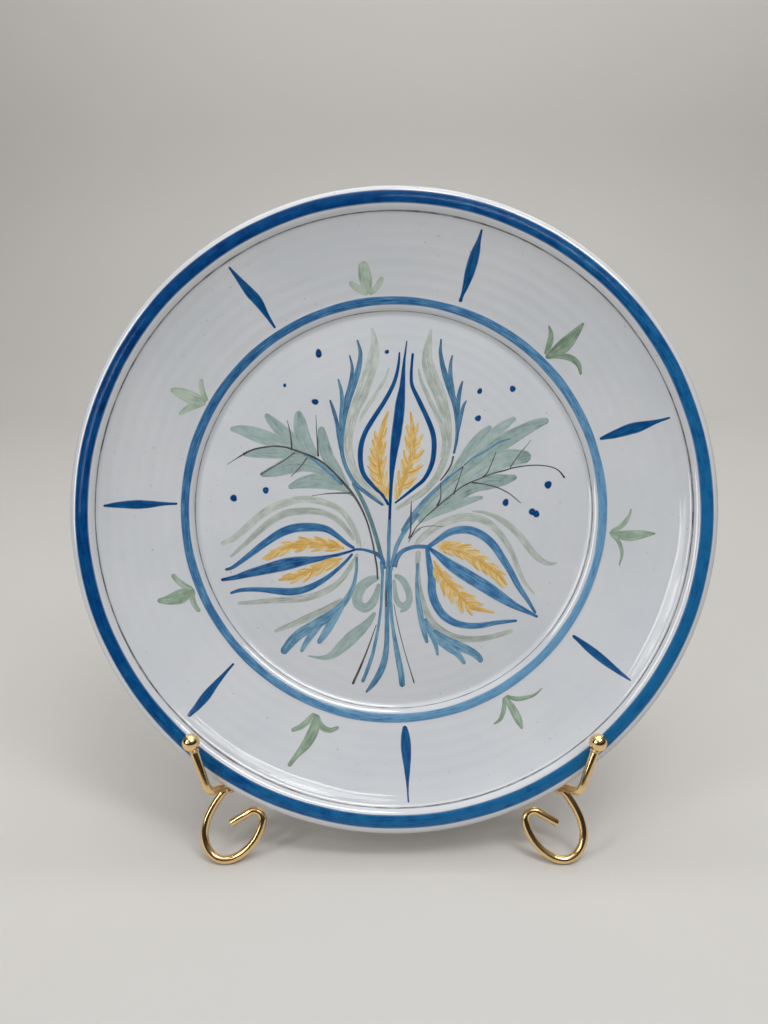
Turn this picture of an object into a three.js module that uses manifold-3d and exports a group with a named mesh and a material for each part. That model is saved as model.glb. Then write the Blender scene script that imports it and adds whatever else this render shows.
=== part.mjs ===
// A glazed earthenware plate leaning in a gold wire easel with scrolled front feet, ball tipped
// prongs and a folding rear leg. Millimetres, +Z up, the painted face looks towards -Y.

import * as THREE from "three";
import { mergeVertices } from "three/addons/utils/BufferGeometryUtils.js";
import Module from "manifold-3d";

const wasm = await Module();
wasm.setup();

// ---- Driving dimensions -----------------------------------------------------------------------

// Plate, measured from its lip (depth 0) back to its foot
const PLATE_DIAMETER = 300;
const PLATE_DEPTH = 29.5;
const WELL_RADIUS = 93.5;
const WELL_DEPTH = 20.5;
const STEP_WIDTH = 9;
const STEP_HEIGHT = 3.8;
const LIP_WIDTH = 12;
const LIP_THICKNESS = 7.2;
const LIP_DROP = 3.2;
const WALL_THICKNESS = 6.2;
const FOOT_RING_RADIUS = 92;
const FOOT_RING_WIDTH = 8;
const PLATE_SIDES = 64;
const CURVE_POINTS = 5;

// Easel wires and balls
const WIRE_DIAMETER = 3.8;
const BALL_DIAMETER = 8;
const WIRE_SIDES = 8;
const BEND_STEP = THREE.MathUtils.degToRad(18);

// How the plate leans, and how the rear leg stands
const LEAN = THREE.MathUtils.degToRad(19);
const REAR_LEG_LEAN = THREE.MathUtils.degToRad(20);

// Side wires: half widths, and heights along the lean from the plate's centre
const PRONG_TIP_SPREAD = 7.4;
const PRONG_HEIGHT = 23.5;
const PRONG_FRONT = 4.2;
const PRONG_TIP_FRONT = 6.6;
const PRONG_BEND = 6;
const HOOK_ANGLE = THREE.MathUtils.degToRad(58.6);
const ARM_TURN_IN = 16;
const ARM_DROP = 4;
const REAR_CORNER_BEND = 7;
const ARCH_HALF_WIDTH = 25;
const ARCH_HEIGHT = 61;
const ARCH_BEND = 28;

// Scrolled feet: the bends of the wire from the hook round to its end
const SCROLL_START = THREE.MathUtils.degToRad(229);
const SCROLL_BENDS = [
  [45, 17],
  [24, 17],
  [13, 49],
  [9, 54],
  [13, 22],
  [22.5, 42],
  [16, 14],
  [4, 126],
];
const SCROLL_END_LENGTH = 10.5;
const SCROLL_TOP_DEPTH = 10.5;
const SCROLL_LEAN = THREE.MathUtils.degToRad(9);

// Cross bars and the rear leg
const LOWER_BAR_HEIGHT = -95;
const HINGE_HEIGHT = 20;
const STOP_BAR_RISE = 14;
const BAR_OVERHANG = 4;
const LEG_HALF_WIDTH = 22;
const LEG_CORNER_BEND = 9;
const LEG_TAIL = 18;
const SLEEVE_LENGTH = 9;
const SLEEVE_WALL = 1;

// Gap left between pieces that touch or are brazed together, and running clearance of the hinge
const SEAT_GAP = 0.3;
const HINGE_CLEARANCE = 0.3;
const SOCKET_DEPTH = 3;

// ---- Worked out from the driving dimensions ---------------------------------------------------

const plateRadius = PLATE_DIAMETER / 2;
const wireRadius = WIRE_DIAMETER / 2;
const touching = WIRE_DIAMETER + SEAT_GAP;
const sideWireDepth = PLATE_DEPTH + SEAT_GAP + wireRadius;
const barDepth = sideWireDepth + touching;
const hookReach = plateRadius + wireRadius + SEAT_GAP;
const spread = LEAN + REAR_LEG_LEAN;

// ---- Materials --------------------------------------------------------------------------------

const glaze = () => new THREE.MeshStandardMaterial({ color: 0xdcdad6, roughness: 0.18, metalness: 0 });
const gold = () => new THREE.MeshStandardMaterial({ color: 0xd9a94e, roughness: 0.2, metalness: 1 });

// ---- Solids -----------------------------------------------------------------------------------

/** One closed mesh as a solid that can be joined or cut. */
function solidOf(geometry) {
  const bare = geometry.clone();
  bare.deleteAttribute("normal");
  bare.deleteAttribute("uv");
  const merged = mergeVertices(bare, 1e-4);
  return new wasm.Manifold(new wasm.Mesh({
    numProp: 3,
    vertProperties: Float32Array.from(merged.attributes.position.array),
    triVerts: Uint32Array.from(merged.index.array),
  }));
}

/** The mesh geometry of a solid. */
function geometryOf(solid) {
  const mesh = solid.getMesh();
  const geometry = new THREE.BufferGeometry();
  geometry.setAttribute("position", new THREE.BufferAttribute(mesh.vertProperties, 3));
  geometry.setIndex(new THREE.BufferAttribute(mesh.triVerts, 1));
  geometry.computeVertexNormals();
  return geometry;
}

function named(name, geometry, material) {
  const mesh = new THREE.Mesh(geometry, material);
  mesh.name = name;
  return mesh;
}

// ---- Wires ------------------------------------------------------------------------------------

/** A wire's centre line: the stations where it has a section, two to a straight. */
class WireLine extends THREE.Curve {
  constructor(stations) {
    super();
    this.stations = stations;
  }

  stationAt(share) {
    return this.stations[Math.round(share * (this.stations.length - 1))];
  }

  getPointAt(share, target = new THREE.Vector3()) {
    return target.copy(this.stationAt(share).point);
  }

  getTangentAt(share, target = new THREE.Vector3()) {
    return target.copy(this.stationAt(share).heading);
  }
}

/** Stations of a wire that runs straight between corners and bends round each inner corner. */
function bentThrough(corners, bends) {
  const stations = [];
  const last = corners.length - 1;
  const headings = corners.slice(1).map((corner, i) => corner.clone().sub(corners[i]).normalize());
  stations.push({ point: corners[0], heading: headings[0] });
  for (let i = 1; i < last; i += 1) {
    const before = headings[i - 1];
    const after = headings[i];
    const turn = before.angleTo(after);
    const setback = bends[i - 1] * Math.tan(turn / 2);
    const axis = before.clone().cross(after).normalize();
    const start = corners[i].clone().addScaledVector(before, -setback);
    const toCentre = axis.clone().cross(before).multiplyScalar(bends[i - 1]);
    const centre = start.clone().add(toCentre);
    const steps = Math.max(2, Math.ceil(turn / BEND_STEP));
    for (let k = 0; k <= steps; k += 1) {
      const angle = (turn * k) / steps;
      const point = toCentre.clone().negate().applyAxisAngle(axis, angle).add(centre);
      stations.push({ point, heading: before.clone().applyAxisAngle(axis, angle) });
    }
  }
  stations.push({ point: corners[last], heading: headings[last - 1] });
  return stations;
}

/** Stations of a flat wire in the XZ plane that turns left through arcs and ends straight. */
function curled(startAngle, bends, endLength) {
  const at = (angle) => new THREE.Vector3(Math.cos(angle), 0, Math.sin(angle));
  const stations = [{ point: new THREE.Vector3(), heading: at(startAngle) }];
  let angle = startAngle;
  let point = new THREE.Vector3();
  for (const [radius, turnDegrees] of bends) {
    const turn = THREE.MathUtils.degToRad(turnDegrees);
    const steps = Math.max(2, Math.ceil(turn / BEND_STEP));
    const side = (a) => at(a + Math.PI / 2).multiplyScalar(radius);
    const centre = point.clone().add(side(angle));
    for (let k = 1; k <= steps; k += 1) {
      const now = angle + (turn * k) / steps;
      stations.push({ point: centre.clone().sub(side(now)), heading: at(now) });
    }
    angle += turn;
    point = stations[stations.length - 1].point;
  }
  stations.push({ point: point.clone().addScaledVector(at(angle), endLength), heading: at(angle) });
  return stations;
}

/** Round section of a wire, its flats turned by an angle. */
function wireSection(radius, turn = 0) {
  const corners = [];
  for (let k = 0; k < WIRE_SIDES; k += 1) {
    const angle = turn + ((k + 0.5) * 2 * Math.PI) / WIRE_SIDES;
    corners.push(new THREE.Vector2(radius * Math.cos(angle), radius * Math.sin(angle)));
  }
  return new THREE.Shape(corners);
}

function wire(stations, turn = 0) {
  return new THREE.ExtrudeGeometry(wireSection(wireRadius, turn), {
    steps: stations.length - 1,
    extrudePath: new WireLine(stations),
  });
}

/** A straight bar along X, centred. */
function crossBar(name, length, depth, height) {
  const bar = new THREE.CylinderGeometry(wireRadius, wireRadius, length, WIRE_SIDES * 2);
  const mesh = named(name, bar.rotateZ(Math.PI / 2), gold());
  mesh.position.set(0, depth, height);
  return mesh;
}

// ---- Plate ------------------------------------------------------------------------------------

/** Section of the plate as points of radius and depth, from the middle of the face to the back. */
function plateProfile() {
  const stepRadius = WELL_RADIUS + STEP_WIDTH;
  const stepDepth = WELL_DEPTH - STEP_HEIGHT;
  const lipInner = plateRadius - LIP_WIDTH;
  const lipTop = plateRadius - LIP_WIDTH / 2;
  const underWell = WELL_DEPTH + WALL_THICKNESS;
  const outline = new THREE.Path();
  outline.moveTo(0, WELL_DEPTH);
  outline.lineTo(WELL_RADIUS, WELL_DEPTH);
  outline.bezierCurveTo(
    WELL_RADIUS + 3, WELL_DEPTH, WELL_RADIUS + 3, stepDepth, stepRadius, stepDepth,
  );
  outline.bezierCurveTo(
    stepRadius + 15, stepDepth - 4, lipInner - 8, LIP_DROP + 5, lipInner, LIP_DROP,
  );
  outline.bezierCurveTo(lipInner + 1, LIP_DROP - 2, lipInner + 2, 0, lipTop, 0);
  outline.bezierCurveTo(
    plateRadius - 1, 0, plateRadius, 1.5, plateRadius, LIP_THICKNESS / 2,
  );
  outline.bezierCurveTo(
    plateRadius, LIP_THICKNESS - 1.5, plateRadius - 1.5, LIP_THICKNESS,
    plateRadius - 4, LIP_THICKNESS,
  );
  outline.bezierCurveTo(
    lipInner - 6, LIP_THICKNESS + 5, stepRadius + 14, stepDepth + 4,
    stepRadius, stepDepth + WALL_THICKNESS,
  );
  outline.lineTo(FOOT_RING_RADIUS + 2, underWell);
  outline.lineTo(FOOT_RING_RADIUS, PLATE_DEPTH);
  outline.lineTo(FOOT_RING_RADIUS - FOOT_RING_WIDTH, PLATE_DEPTH);
  outline.lineTo(FOOT_RING_RADIUS - FOOT_RING_WIDTH - 2, underWell);
  outline.lineTo(0, underWell);
  return outline.getPoints(CURVE_POINTS);
}

/** The plate, its lip at depth 0 and its painted face towards -Y. */
function plate() {
  const profile = plateProfile().map((point) => new THREE.Vector2(point.x, point.y));
  profile[0].x = 0;
  profile[profile.length - 1].x = 0;
  const turned = new THREE.LatheGeometry(profile, PLATE_SIDES);
  const solid = solidOf(turned);
  return named("plate", geometryOf(solid), glaze());
}

// ---- Easel ------------------------------------------------------------------------------------

/** Corners of the left side wire: ball, foot of the prong, rear corner, arch shoulder, crown. */
function sideWireCorners() {
  const hookX = -hookReach * Math.cos(HOOK_ANGLE);
  const hookZ = -hookReach * Math.sin(HOOK_ANGLE);
  const slope = new THREE.Vector3(ARM_TURN_IN, sideWireDepth + PRONG_FRONT, -ARM_DROP);
  const share = (PRONG_FRONT + LIP_THICKNESS) / slope.y;
  const foot = new THREE.Vector3(hookX - slope.x * share, -PRONG_FRONT, hookZ - slope.z * share);
  const tip = new THREE.Vector3(foot.x - PRONG_TIP_SPREAD, -PRONG_TIP_FRONT, foot.z + PRONG_HEIGHT);
  const rear = foot.clone().add(slope);
  const shoulder = new THREE.Vector3(-ARCH_HALF_WIDTH, sideWireDepth, ARCH_HEIGHT);
  const crown = new THREE.Vector3(-SEAT_GAP / 2, sideWireDepth, ARCH_HEIGHT);
  return { tip, foot, rear, shoulder, crown };
}

/** Half width of the side wires at a height on their straight run. */
function sideWireX(height) {
  const { rear, shoulder } = sideWireCorners();
  const share = (height - rear.z) / (shoulder.z - rear.z);
  return Math.abs(THREE.MathUtils.lerp(rear.x, shoulder.x, share));
}

function mirrored(stations) {
  const flip = (v) => new THREE.Vector3(-v.x, v.y, v.z);
  return stations.map(({ point, heading }) => ({ point: flip(point), heading: flip(heading) }));
}

function sideWireStations() {
  const { tip, foot, rear, shoulder, crown } = sideWireCorners();
  const down = foot.clone().sub(tip).normalize();
  const socketBottom = tip.clone().addScaledVector(down, BALL_DIAMETER / 2 - SOCKET_DEPTH + SEAT_GAP);
  return bentThrough(
    [socketBottom, foot, rear, shoulder, crown],
    [PRONG_BEND, REAR_CORNER_BEND, ARCH_BEND],
  );
}

/** A ball with a blind hole that a wire end fits, opening along a heading. */
function drilledBall(heading) {
  const ball = solidOf(new THREE.SphereGeometry(BALL_DIAMETER / 2, 16, 12));
  const holeRadius = wireRadius + SEAT_GAP;
  const hole = new THREE.CylinderGeometry(holeRadius, holeRadius, BALL_DIAMETER, WIRE_SIDES * 2);
  hole.translate(0, BALL_DIAMETER - SOCKET_DEPTH, 0);
  hole.applyQuaternion(new THREE.Quaternion().setFromUnitVectors(new THREE.Vector3(0, 1, 0), heading));
  return geometryOf(ball.subtract(solidOf(hole)));
}

function ballTip(name, side) {
  const { tip, foot } = sideWireCorners();
  const centre = new THREE.Vector3(side * Math.abs(tip.x), tip.y, tip.z);
  const down = new THREE.Vector3(side * Math.abs(foot.x), foot.y, foot.z).sub(centre).normalize();
  const mesh = named(name, drilledBall(down), gold());
  mesh.position.copy(centre);
  return mesh;
}

/** Where the left foot scroll starts: its end face is brazed against the underside of the arm. */
function scrollTop(heading) {
  const { foot, rear } = sideWireCorners();
  const arm = rear.clone().sub(foot);
  const onArm = foot.clone().addScaledVector(arm, (SCROLL_TOP_DEPTH - foot.y) / arm.y);
  const slant = heading.angleTo(arm);
  const nearest = wireRadius * (1 + Math.abs(Math.cos(slant))) + SEAT_GAP;
  return onArm.addScaledVector(heading, nearest / Math.sin(slant));
}

function scrollStations() {
  const stations = curled(SCROLL_START, SCROLL_BENDS, SCROLL_END_LENGTH);
  const lean = new THREE.Quaternion().setFromAxisAngle(new THREE.Vector3(1, 0, 0), -SCROLL_LEAN);
  const top = scrollTop(stations[0].heading.clone().applyQuaternion(lean));
  return stations.map(({ point, heading }) => ({
    point: point.clone().applyQuaternion(lean).add(top),
    heading: heading.clone().applyQuaternion(lean),
  }));
}

/** A hinge sleeve: a short tube round the hinge bar. */
function hingeSleeve(name, side) {
  const inner = wireRadius + HINGE_CLEARANCE;
  const outer = inner + SLEEVE_WALL;
  const half = SLEEVE_LENGTH / 2;
  const section = [[inner, -half], [outer, -half], [outer, half], [inner, half], [inner, -half]];
  const turned = new THREE.LatheGeometry(section.map(([r, z]) => new THREE.Vector2(r, z)), 20);
  turned.rotateZ(Math.PI / 2);
  const mesh = named(name, geometryOf(solidOf(turned)), gold());
  mesh.position.x = side * LEG_HALF_WIDTH;
  return mesh;
}

/** Distance of the rear leg's wire from the hinge axis: it is brazed behind the sleeves. */
const legOffset = wireRadius + HINGE_CLEARANCE + SLEEVE_WALL + SEAT_GAP + wireRadius;

/** Height of the plate's centre above the table, so that the scrolls stand on it. */
function centreHeight() {
  const lowest = Math.min(...scrollStations().map(({ point }) => (
    point.z * Math.cos(LEAN) - point.y * Math.sin(LEAN)
  )));
  return wireRadius - lowest;
}

/** Length of the rear leg from the hinge to its foot, so that the foot's flat lies on the table. */
function rearLegLength() {
  const hingeZ = centreHeight() + HINGE_HEIGHT * Math.cos(LEAN) - barDepth * Math.sin(LEAN);
  const flat = wireRadius * Math.cos(Math.PI / WIRE_SIDES);
  return (hingeZ + legOffset * Math.sin(REAR_LEG_LEAN) - flat) / Math.cos(REAR_LEG_LEAN);
}

/** The U shaped rear leg, modelled hanging straight down from the hinge axis. */
function rearLeg() {
  const length = rearLegLength();
  const tailLean = Math.asin((legOffset - touching) / STOP_BAR_RISE) - spread;
  const elbow = new THREE.Vector3(LEG_HALF_WIDTH, legOffset, legOffset * Math.tan(tailLean / 2));
  const up = new THREE.Vector3(0, -Math.sin(tailLean), Math.cos(tailLean));
  const right = [
    elbow.clone().addScaledVector(up, LEG_TAIL),
    elbow,
    new THREE.Vector3(LEG_HALF_WIDTH, legOffset, -length),
  ];
  const left = right.map((corner) => new THREE.Vector3(-corner.x, corner.y, corner.z)).reverse();
  const stations = bentThrough(
    [...right, ...left],
    [legOffset, LEG_CORNER_BEND, LEG_CORNER_BEND, legOffset],
  );
  return named("rear_leg", wire(stations, REAR_LEG_LEAN), gold());
}

// ---- Assembly ---------------------------------------------------------------------------------

const leaning = new THREE.Group();
leaning.rotation.x = -LEAN;
leaning.position.z = centreHeight();
leaning.add(plate());

const sideStations = sideWireStations();
leaning.add(named("left_side_wire", wire(sideStations), gold()));
leaning.add(named("right_side_wire", wire(mirrored(sideStations)), gold()));
leaning.add(ballTip("left_prong_ball", -1));
leaning.add(ballTip("right_prong_ball", 1));

const footStations = scrollStations();
leaning.add(named("left_foot_scroll", wire(footStations), gold()));
leaning.add(named("right_foot_scroll", wire(mirrored(footStations)), gold()));

const barLength = (height) => 2 * (sideWireX(height) + BAR_OVERHANG);
const stopHeight = HINGE_HEIGHT + STOP_BAR_RISE;
leaning.add(crossBar("lower_cross_bar", barLength(LOWER_BAR_HEIGHT), barDepth, LOWER_BAR_HEIGHT));
leaning.add(crossBar("hinge_bar", barLength(HINGE_HEIGHT), barDepth, HINGE_HEIGHT));
leaning.add(crossBar("stop_bar", barLength(stopHeight), barDepth, stopHeight));

const hinge = new THREE.Group();
hinge.position.set(0, barDepth, HINGE_HEIGHT);
hinge.rotation.x = spread;
hinge.add(rearLeg());
hinge.add(hingeSleeve("left_hinge_sleeve", -1));
hinge.add(hingeSleeve("right_hinge_sleeve", 1));
leaning.add(hinge);

const display = new THREE.Group();
display.add(leaning);
display.updateMatrixWorld(true);

// The origin is under the middle of the whole display's box
const box = new THREE.Box3().setFromObject(display, true);
display.position.set(-(box.min.x + box.max.x) / 2, -(box.min.y + box.max.y) / 2, -box.min.z);
display.updateMatrixWorld(true);

export default display;
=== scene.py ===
"""A hand painted ceramic plate on a folding gold wire easel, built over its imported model."""

import math
import random

import bpy
import numpy as np
from mathutils import Matrix, Vector


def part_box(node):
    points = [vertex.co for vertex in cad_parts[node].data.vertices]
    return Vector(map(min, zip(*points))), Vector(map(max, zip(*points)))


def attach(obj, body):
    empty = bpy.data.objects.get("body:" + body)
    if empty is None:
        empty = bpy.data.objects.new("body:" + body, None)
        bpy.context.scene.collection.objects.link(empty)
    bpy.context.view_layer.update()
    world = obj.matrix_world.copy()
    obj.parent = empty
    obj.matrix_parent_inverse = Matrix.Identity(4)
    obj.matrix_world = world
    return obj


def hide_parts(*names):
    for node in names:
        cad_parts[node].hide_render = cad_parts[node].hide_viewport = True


bl_info = {
    "name": "Painted plate on a wire easel",
    "version": (1, 0, 0),
    "blender": (4, 5, 0),
    "location": "View3D > Sidebar > Painted plate",
    "description": "Builds a hand painted plate and its wire easel over the packed model",
    "category": "Object",
}

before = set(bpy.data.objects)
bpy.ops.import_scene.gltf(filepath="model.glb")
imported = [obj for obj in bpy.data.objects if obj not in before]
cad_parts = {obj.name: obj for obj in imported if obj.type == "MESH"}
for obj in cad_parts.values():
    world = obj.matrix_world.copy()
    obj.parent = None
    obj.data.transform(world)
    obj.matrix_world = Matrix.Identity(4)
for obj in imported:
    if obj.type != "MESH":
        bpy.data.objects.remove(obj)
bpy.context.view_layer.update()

# ---- Settings ---------------------------------------------------------------------------------


def colour_setting(name, description, default):
    return bpy.props.FloatVectorProperty(
        name=name, description=description, subtype="COLOR", size=3, min=0, max=1, default=default
    )


def length_setting(name, description, default, low, high):
    return bpy.props.FloatProperty(
        name=name, description=description, default=default, min=low, max=high,
        unit="LENGTH", precision=4,
    )


def power_setting(name, description, default):
    return bpy.props.FloatProperty(
        name=name, description=description, default=default, min=0, unit="POWER"
    )


class PlateSettings(bpy.types.PropertyGroup):
    """Sizes and colours of the plate and its paint."""

    glaze: colour_setting("Glaze", "Colour of the white tin glaze", (0.69, 0.705, 0.73))
    rim_clay: colour_setting("Rim clay", "Clay showing through on the lip", (0.55, 0.48, 0.40))
    cobalt: colour_setting("Cobalt", "Deep blue of the lip band and dots", (0.0022, 0.060, 0.207))
    petal_blue: colour_setting("Petal blue", "Blue of the side tulips", (0.045, 0.165, 0.35))
    soft_blue: colour_setting("Soft blue", "Thinned blue of the feathers", (0.09, 0.225, 0.36))
    stem_teal: colour_setting("Stem teal", "Green blue of the side stems", (0.115, 0.215, 0.25))
    ochre: colour_setting("Ochre", "Yellow of the feathers inside the tulips", (0.67, 0.41, 0.11))
    leaf_green: colour_setting("Leaf green", "Copper green of the lobed leaves", (0.33, 0.43, 0.41))
    sprig_green: colour_setting("Sprig green", "Green of the flange's sprigs", (0.285, 0.38, 0.285))
    sage: colour_setting("Sage", "Grey green wash round the tulips", (0.45, 0.49, 0.45))
    umber: colour_setting("Umber", "Brown of the hairlines and veins", (0.05, 0.035, 0.032))
    rim_band_width: length_setting("Rim band", "Width of the blue lip band", 0.0060, 0.001, 0.01)
    ring_width: length_setting("Ring", "Width of the blue ring round the well", 0.0041, 0.001, 0.01)
    paint_height: length_setting("Paint height", "Height of the thickest paint", 0.0001, 0, 0.0004)
    ripple_height: length_setting("Ripples", "Height of the throwing ripples", 0.000035, 0, 0.0002)


class EaselSettings(bpy.types.PropertyGroup):
    """Sizes and colours of the wire easel."""

    wire: length_setting("Wire", "Diameter of the easel wire", 0.0038, 0.002, 0.006)
    ball: length_setting("Ball", "Diameter of the ball tips", 0.008, 0.005, 0.012)
    gold: colour_setting("Gold", "Colour of the polished gold plating", (0.93, 0.66, 0.33))
    patina: colour_setting("Patina", "Darker gold in the bends and joints", (0.62, 0.35, 0.13))


class StageSettings(bpy.types.PropertyGroup):
    """Floor, lights and camera."""

    floor: colour_setting("Floor", "Colour of the floor and backdrop", (0.62, 0.60, 0.57))
    overhead: power_setting("Overhead light", "Power of the soft box overhead", 7.7)
    side: power_setting("Side light", "Power of each soft box beside the camera", 3.5)
    rear: power_setting("Rear light", "Power of the soft box behind the plate", 2.2)
    backdrop: power_setting("Backdrop light", "Power of the strip over the backdrop", 9.0)
    window: power_setting("Window light", "Power of each window that glints in the glaze", 1.0)
    surround: bpy.props.FloatProperty(
        name="Surround", description="Strength of the even light all round", default=0.35, min=0
    )


# ---- Places in the plate's leaning frame ------------------------------------------------------

LEAN = math.radians(19)
ACROSS = Vector((1, 0, 0))
UP = Vector((0, math.sin(LEAN), math.cos(LEAN)))
BACK = Vector((0, math.cos(LEAN), -math.sin(LEAN)))
PIVOT_BACK, PIVOT_UP = 35.8, 20
LIP_CENTRE = sum(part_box("hinge_bar"), Vector()) * 500 - BACK * PIVOT_BACK - UP * PIVOT_UP
LEANING = Matrix((ACROSS, BACK, UP)).transposed()


def leaned(points):
    """World places in metres of points given across, back and up from the lip's centre in mm."""
    return (np.asarray(points, float) @ np.array(LEANING).T + np.array(LIP_CENTRE)) * 0.001


def bezier(start, first, second, end, count):
    """Points along a curve after its start."""
    t = np.linspace(0, 1, count + 1)[1:, None]
    p = [np.asarray(v, float) for v in (start, first, second, end)]
    return list(
        p[0] * (1 - t) ** 3 + 3 * p[1] * t * (1 - t) ** 2 + 3 * p[2] * t**2 * (1 - t) + p[3] * t**3
    )


def face_section():
    """Radius and depth down the plate's face, from its middle out to the side of the lip."""
    line = [np.array((r, 20.5)) for r in np.linspace(0, 93.5, 24)]
    line += bezier((93.5, 20.5), (96.5, 20.5), (96.5, 16.7), (102.5, 16.7), 20)
    line += bezier((102.5, 16.7), (117.5, 12.7), (130, 8.2), (137.2, 3.9), 30)
    line += bezier((137.2, 3.9), (138.8, 2.9), (139.6, 0), (144, 0), 22)
    line += bezier((144, 0), (149, 0), (150, 1.5), (150, 3.6), 16)
    return np.array(line)


def back_section():
    """Radius and depth down the plate's back, from the side of the lip to the middle."""
    line = bezier((150, 3.6), (150, 5.7), (148.5, 7.2), (146, 7.2), 12)
    line += bezier((146, 7.2), (132, 12.2), (116.5, 20.7), (102.5, 22.9), 26)
    line += bezier((102.5, 22.9), (97, 24.6), (94.4, 25.4), (93.4, 28.2), 12)
    line += bezier((93.4, 28.2), (92.9, 29.5), (92.4, 29.5), (91.4, 29.5), 6)
    line += bezier((91.4, 29.5), (89, 29.5), (87, 29.5), (84.6, 29.5), 4)
    line += bezier((84.6, 29.5), (83.4, 29.5), (83.4, 29.2), (82.9, 28.4), 6)
    line += bezier((82.9, 28.4), (82, 26.7), (81, 26.7), (79, 26.7), 8)
    line += [np.array((r, 26.7)) for r in np.linspace(76, 0, 16)]
    return np.array(line)


FACE = face_section()
SLOPE = np.gradient(FACE, axis=0)
SLOPE /= np.linalg.norm(SLOPE, axis=1)[:, None]


def on_glaze(across, up, lift):
    """Points in mm that stand a little proud of the glaze over places across and up the plate."""
    radius = np.maximum(np.hypot(across, up), 1e-6)
    depth = np.interp(radius, FACE[:, 0], FACE[:, 1])
    along = np.interp(radius, FACE[:, 0], SLOPE[:, 0])
    rise = np.interp(radius, FACE[:, 0], SLOPE[:, 1])
    out = radius + lift * rise
    return np.stack([across * out / radius, depth - lift * along, up * out / radius], axis=-1)


# ---- Meshes -----------------------------------------------------------------------------------


def piece(name, points, faces, material, body):
    """A mesh piece, its points in world metres, that rides on a body of the model."""
    mesh = bpy.data.meshes.new(name)
    mesh.from_pydata([tuple(p) for p in points], [], faces)
    mesh.validate()
    mesh.shade_smooth()
    mesh.materials.append(material)
    made = bpy.data.objects.new(name, mesh)
    bpy.context.scene.collection.objects.link(made)
    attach(made, body)
    return made


def keep_places(made, places):
    """Stores each point's place in the plate's frame, in decimetres, for the glaze to read."""
    attribute = made.data.attributes.new("plate_place", "FLOAT_VECTOR", "POINT")
    attribute.data.foreach_set("vector", (np.asarray(places, np.float32) * 0.01).ravel())


def grid_faces(rows, columns, start=0, wrap_rows=False, wrap_columns=False):
    """Quads between neighbouring rows of points."""
    faces = []
    for i in range(rows if wrap_rows else rows - 1):
        for j in range(columns if wrap_columns else columns - 1):
            below, beside = (i + 1) % rows, (j + 1) % columns
            faces.append(
                (start + i * columns + j, start + i * columns + beside,
                 start + below * columns + beside, start + below * columns + j)
            )
    return faces


def flowing(points, closed=False):
    """A smooth line through given points, sampled finely."""
    p = np.asarray(points, float)
    if closed:
        p = np.vstack([p[-1], p, p[0], p[1]])
    else:
        p = np.vstack([2 * p[0] - p[1], p, 2 * p[-1] - p[-2]])
    t = np.linspace(0, 1, 12, endpoint=False)[:, None]
    line = []
    for i in range(1, len(p) - 2):
        a, b, c, d = p[i - 1 : i + 3]
        squared, cubed = 2 * a - 5 * b + 4 * c - d, 3 * b - a - 3 * c + d
        line.append(0.5 * (2 * b + (c - a) * t + squared * t**2 + cubed * t**3))
    return np.vstack(line + [p[-2:-1]])


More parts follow.
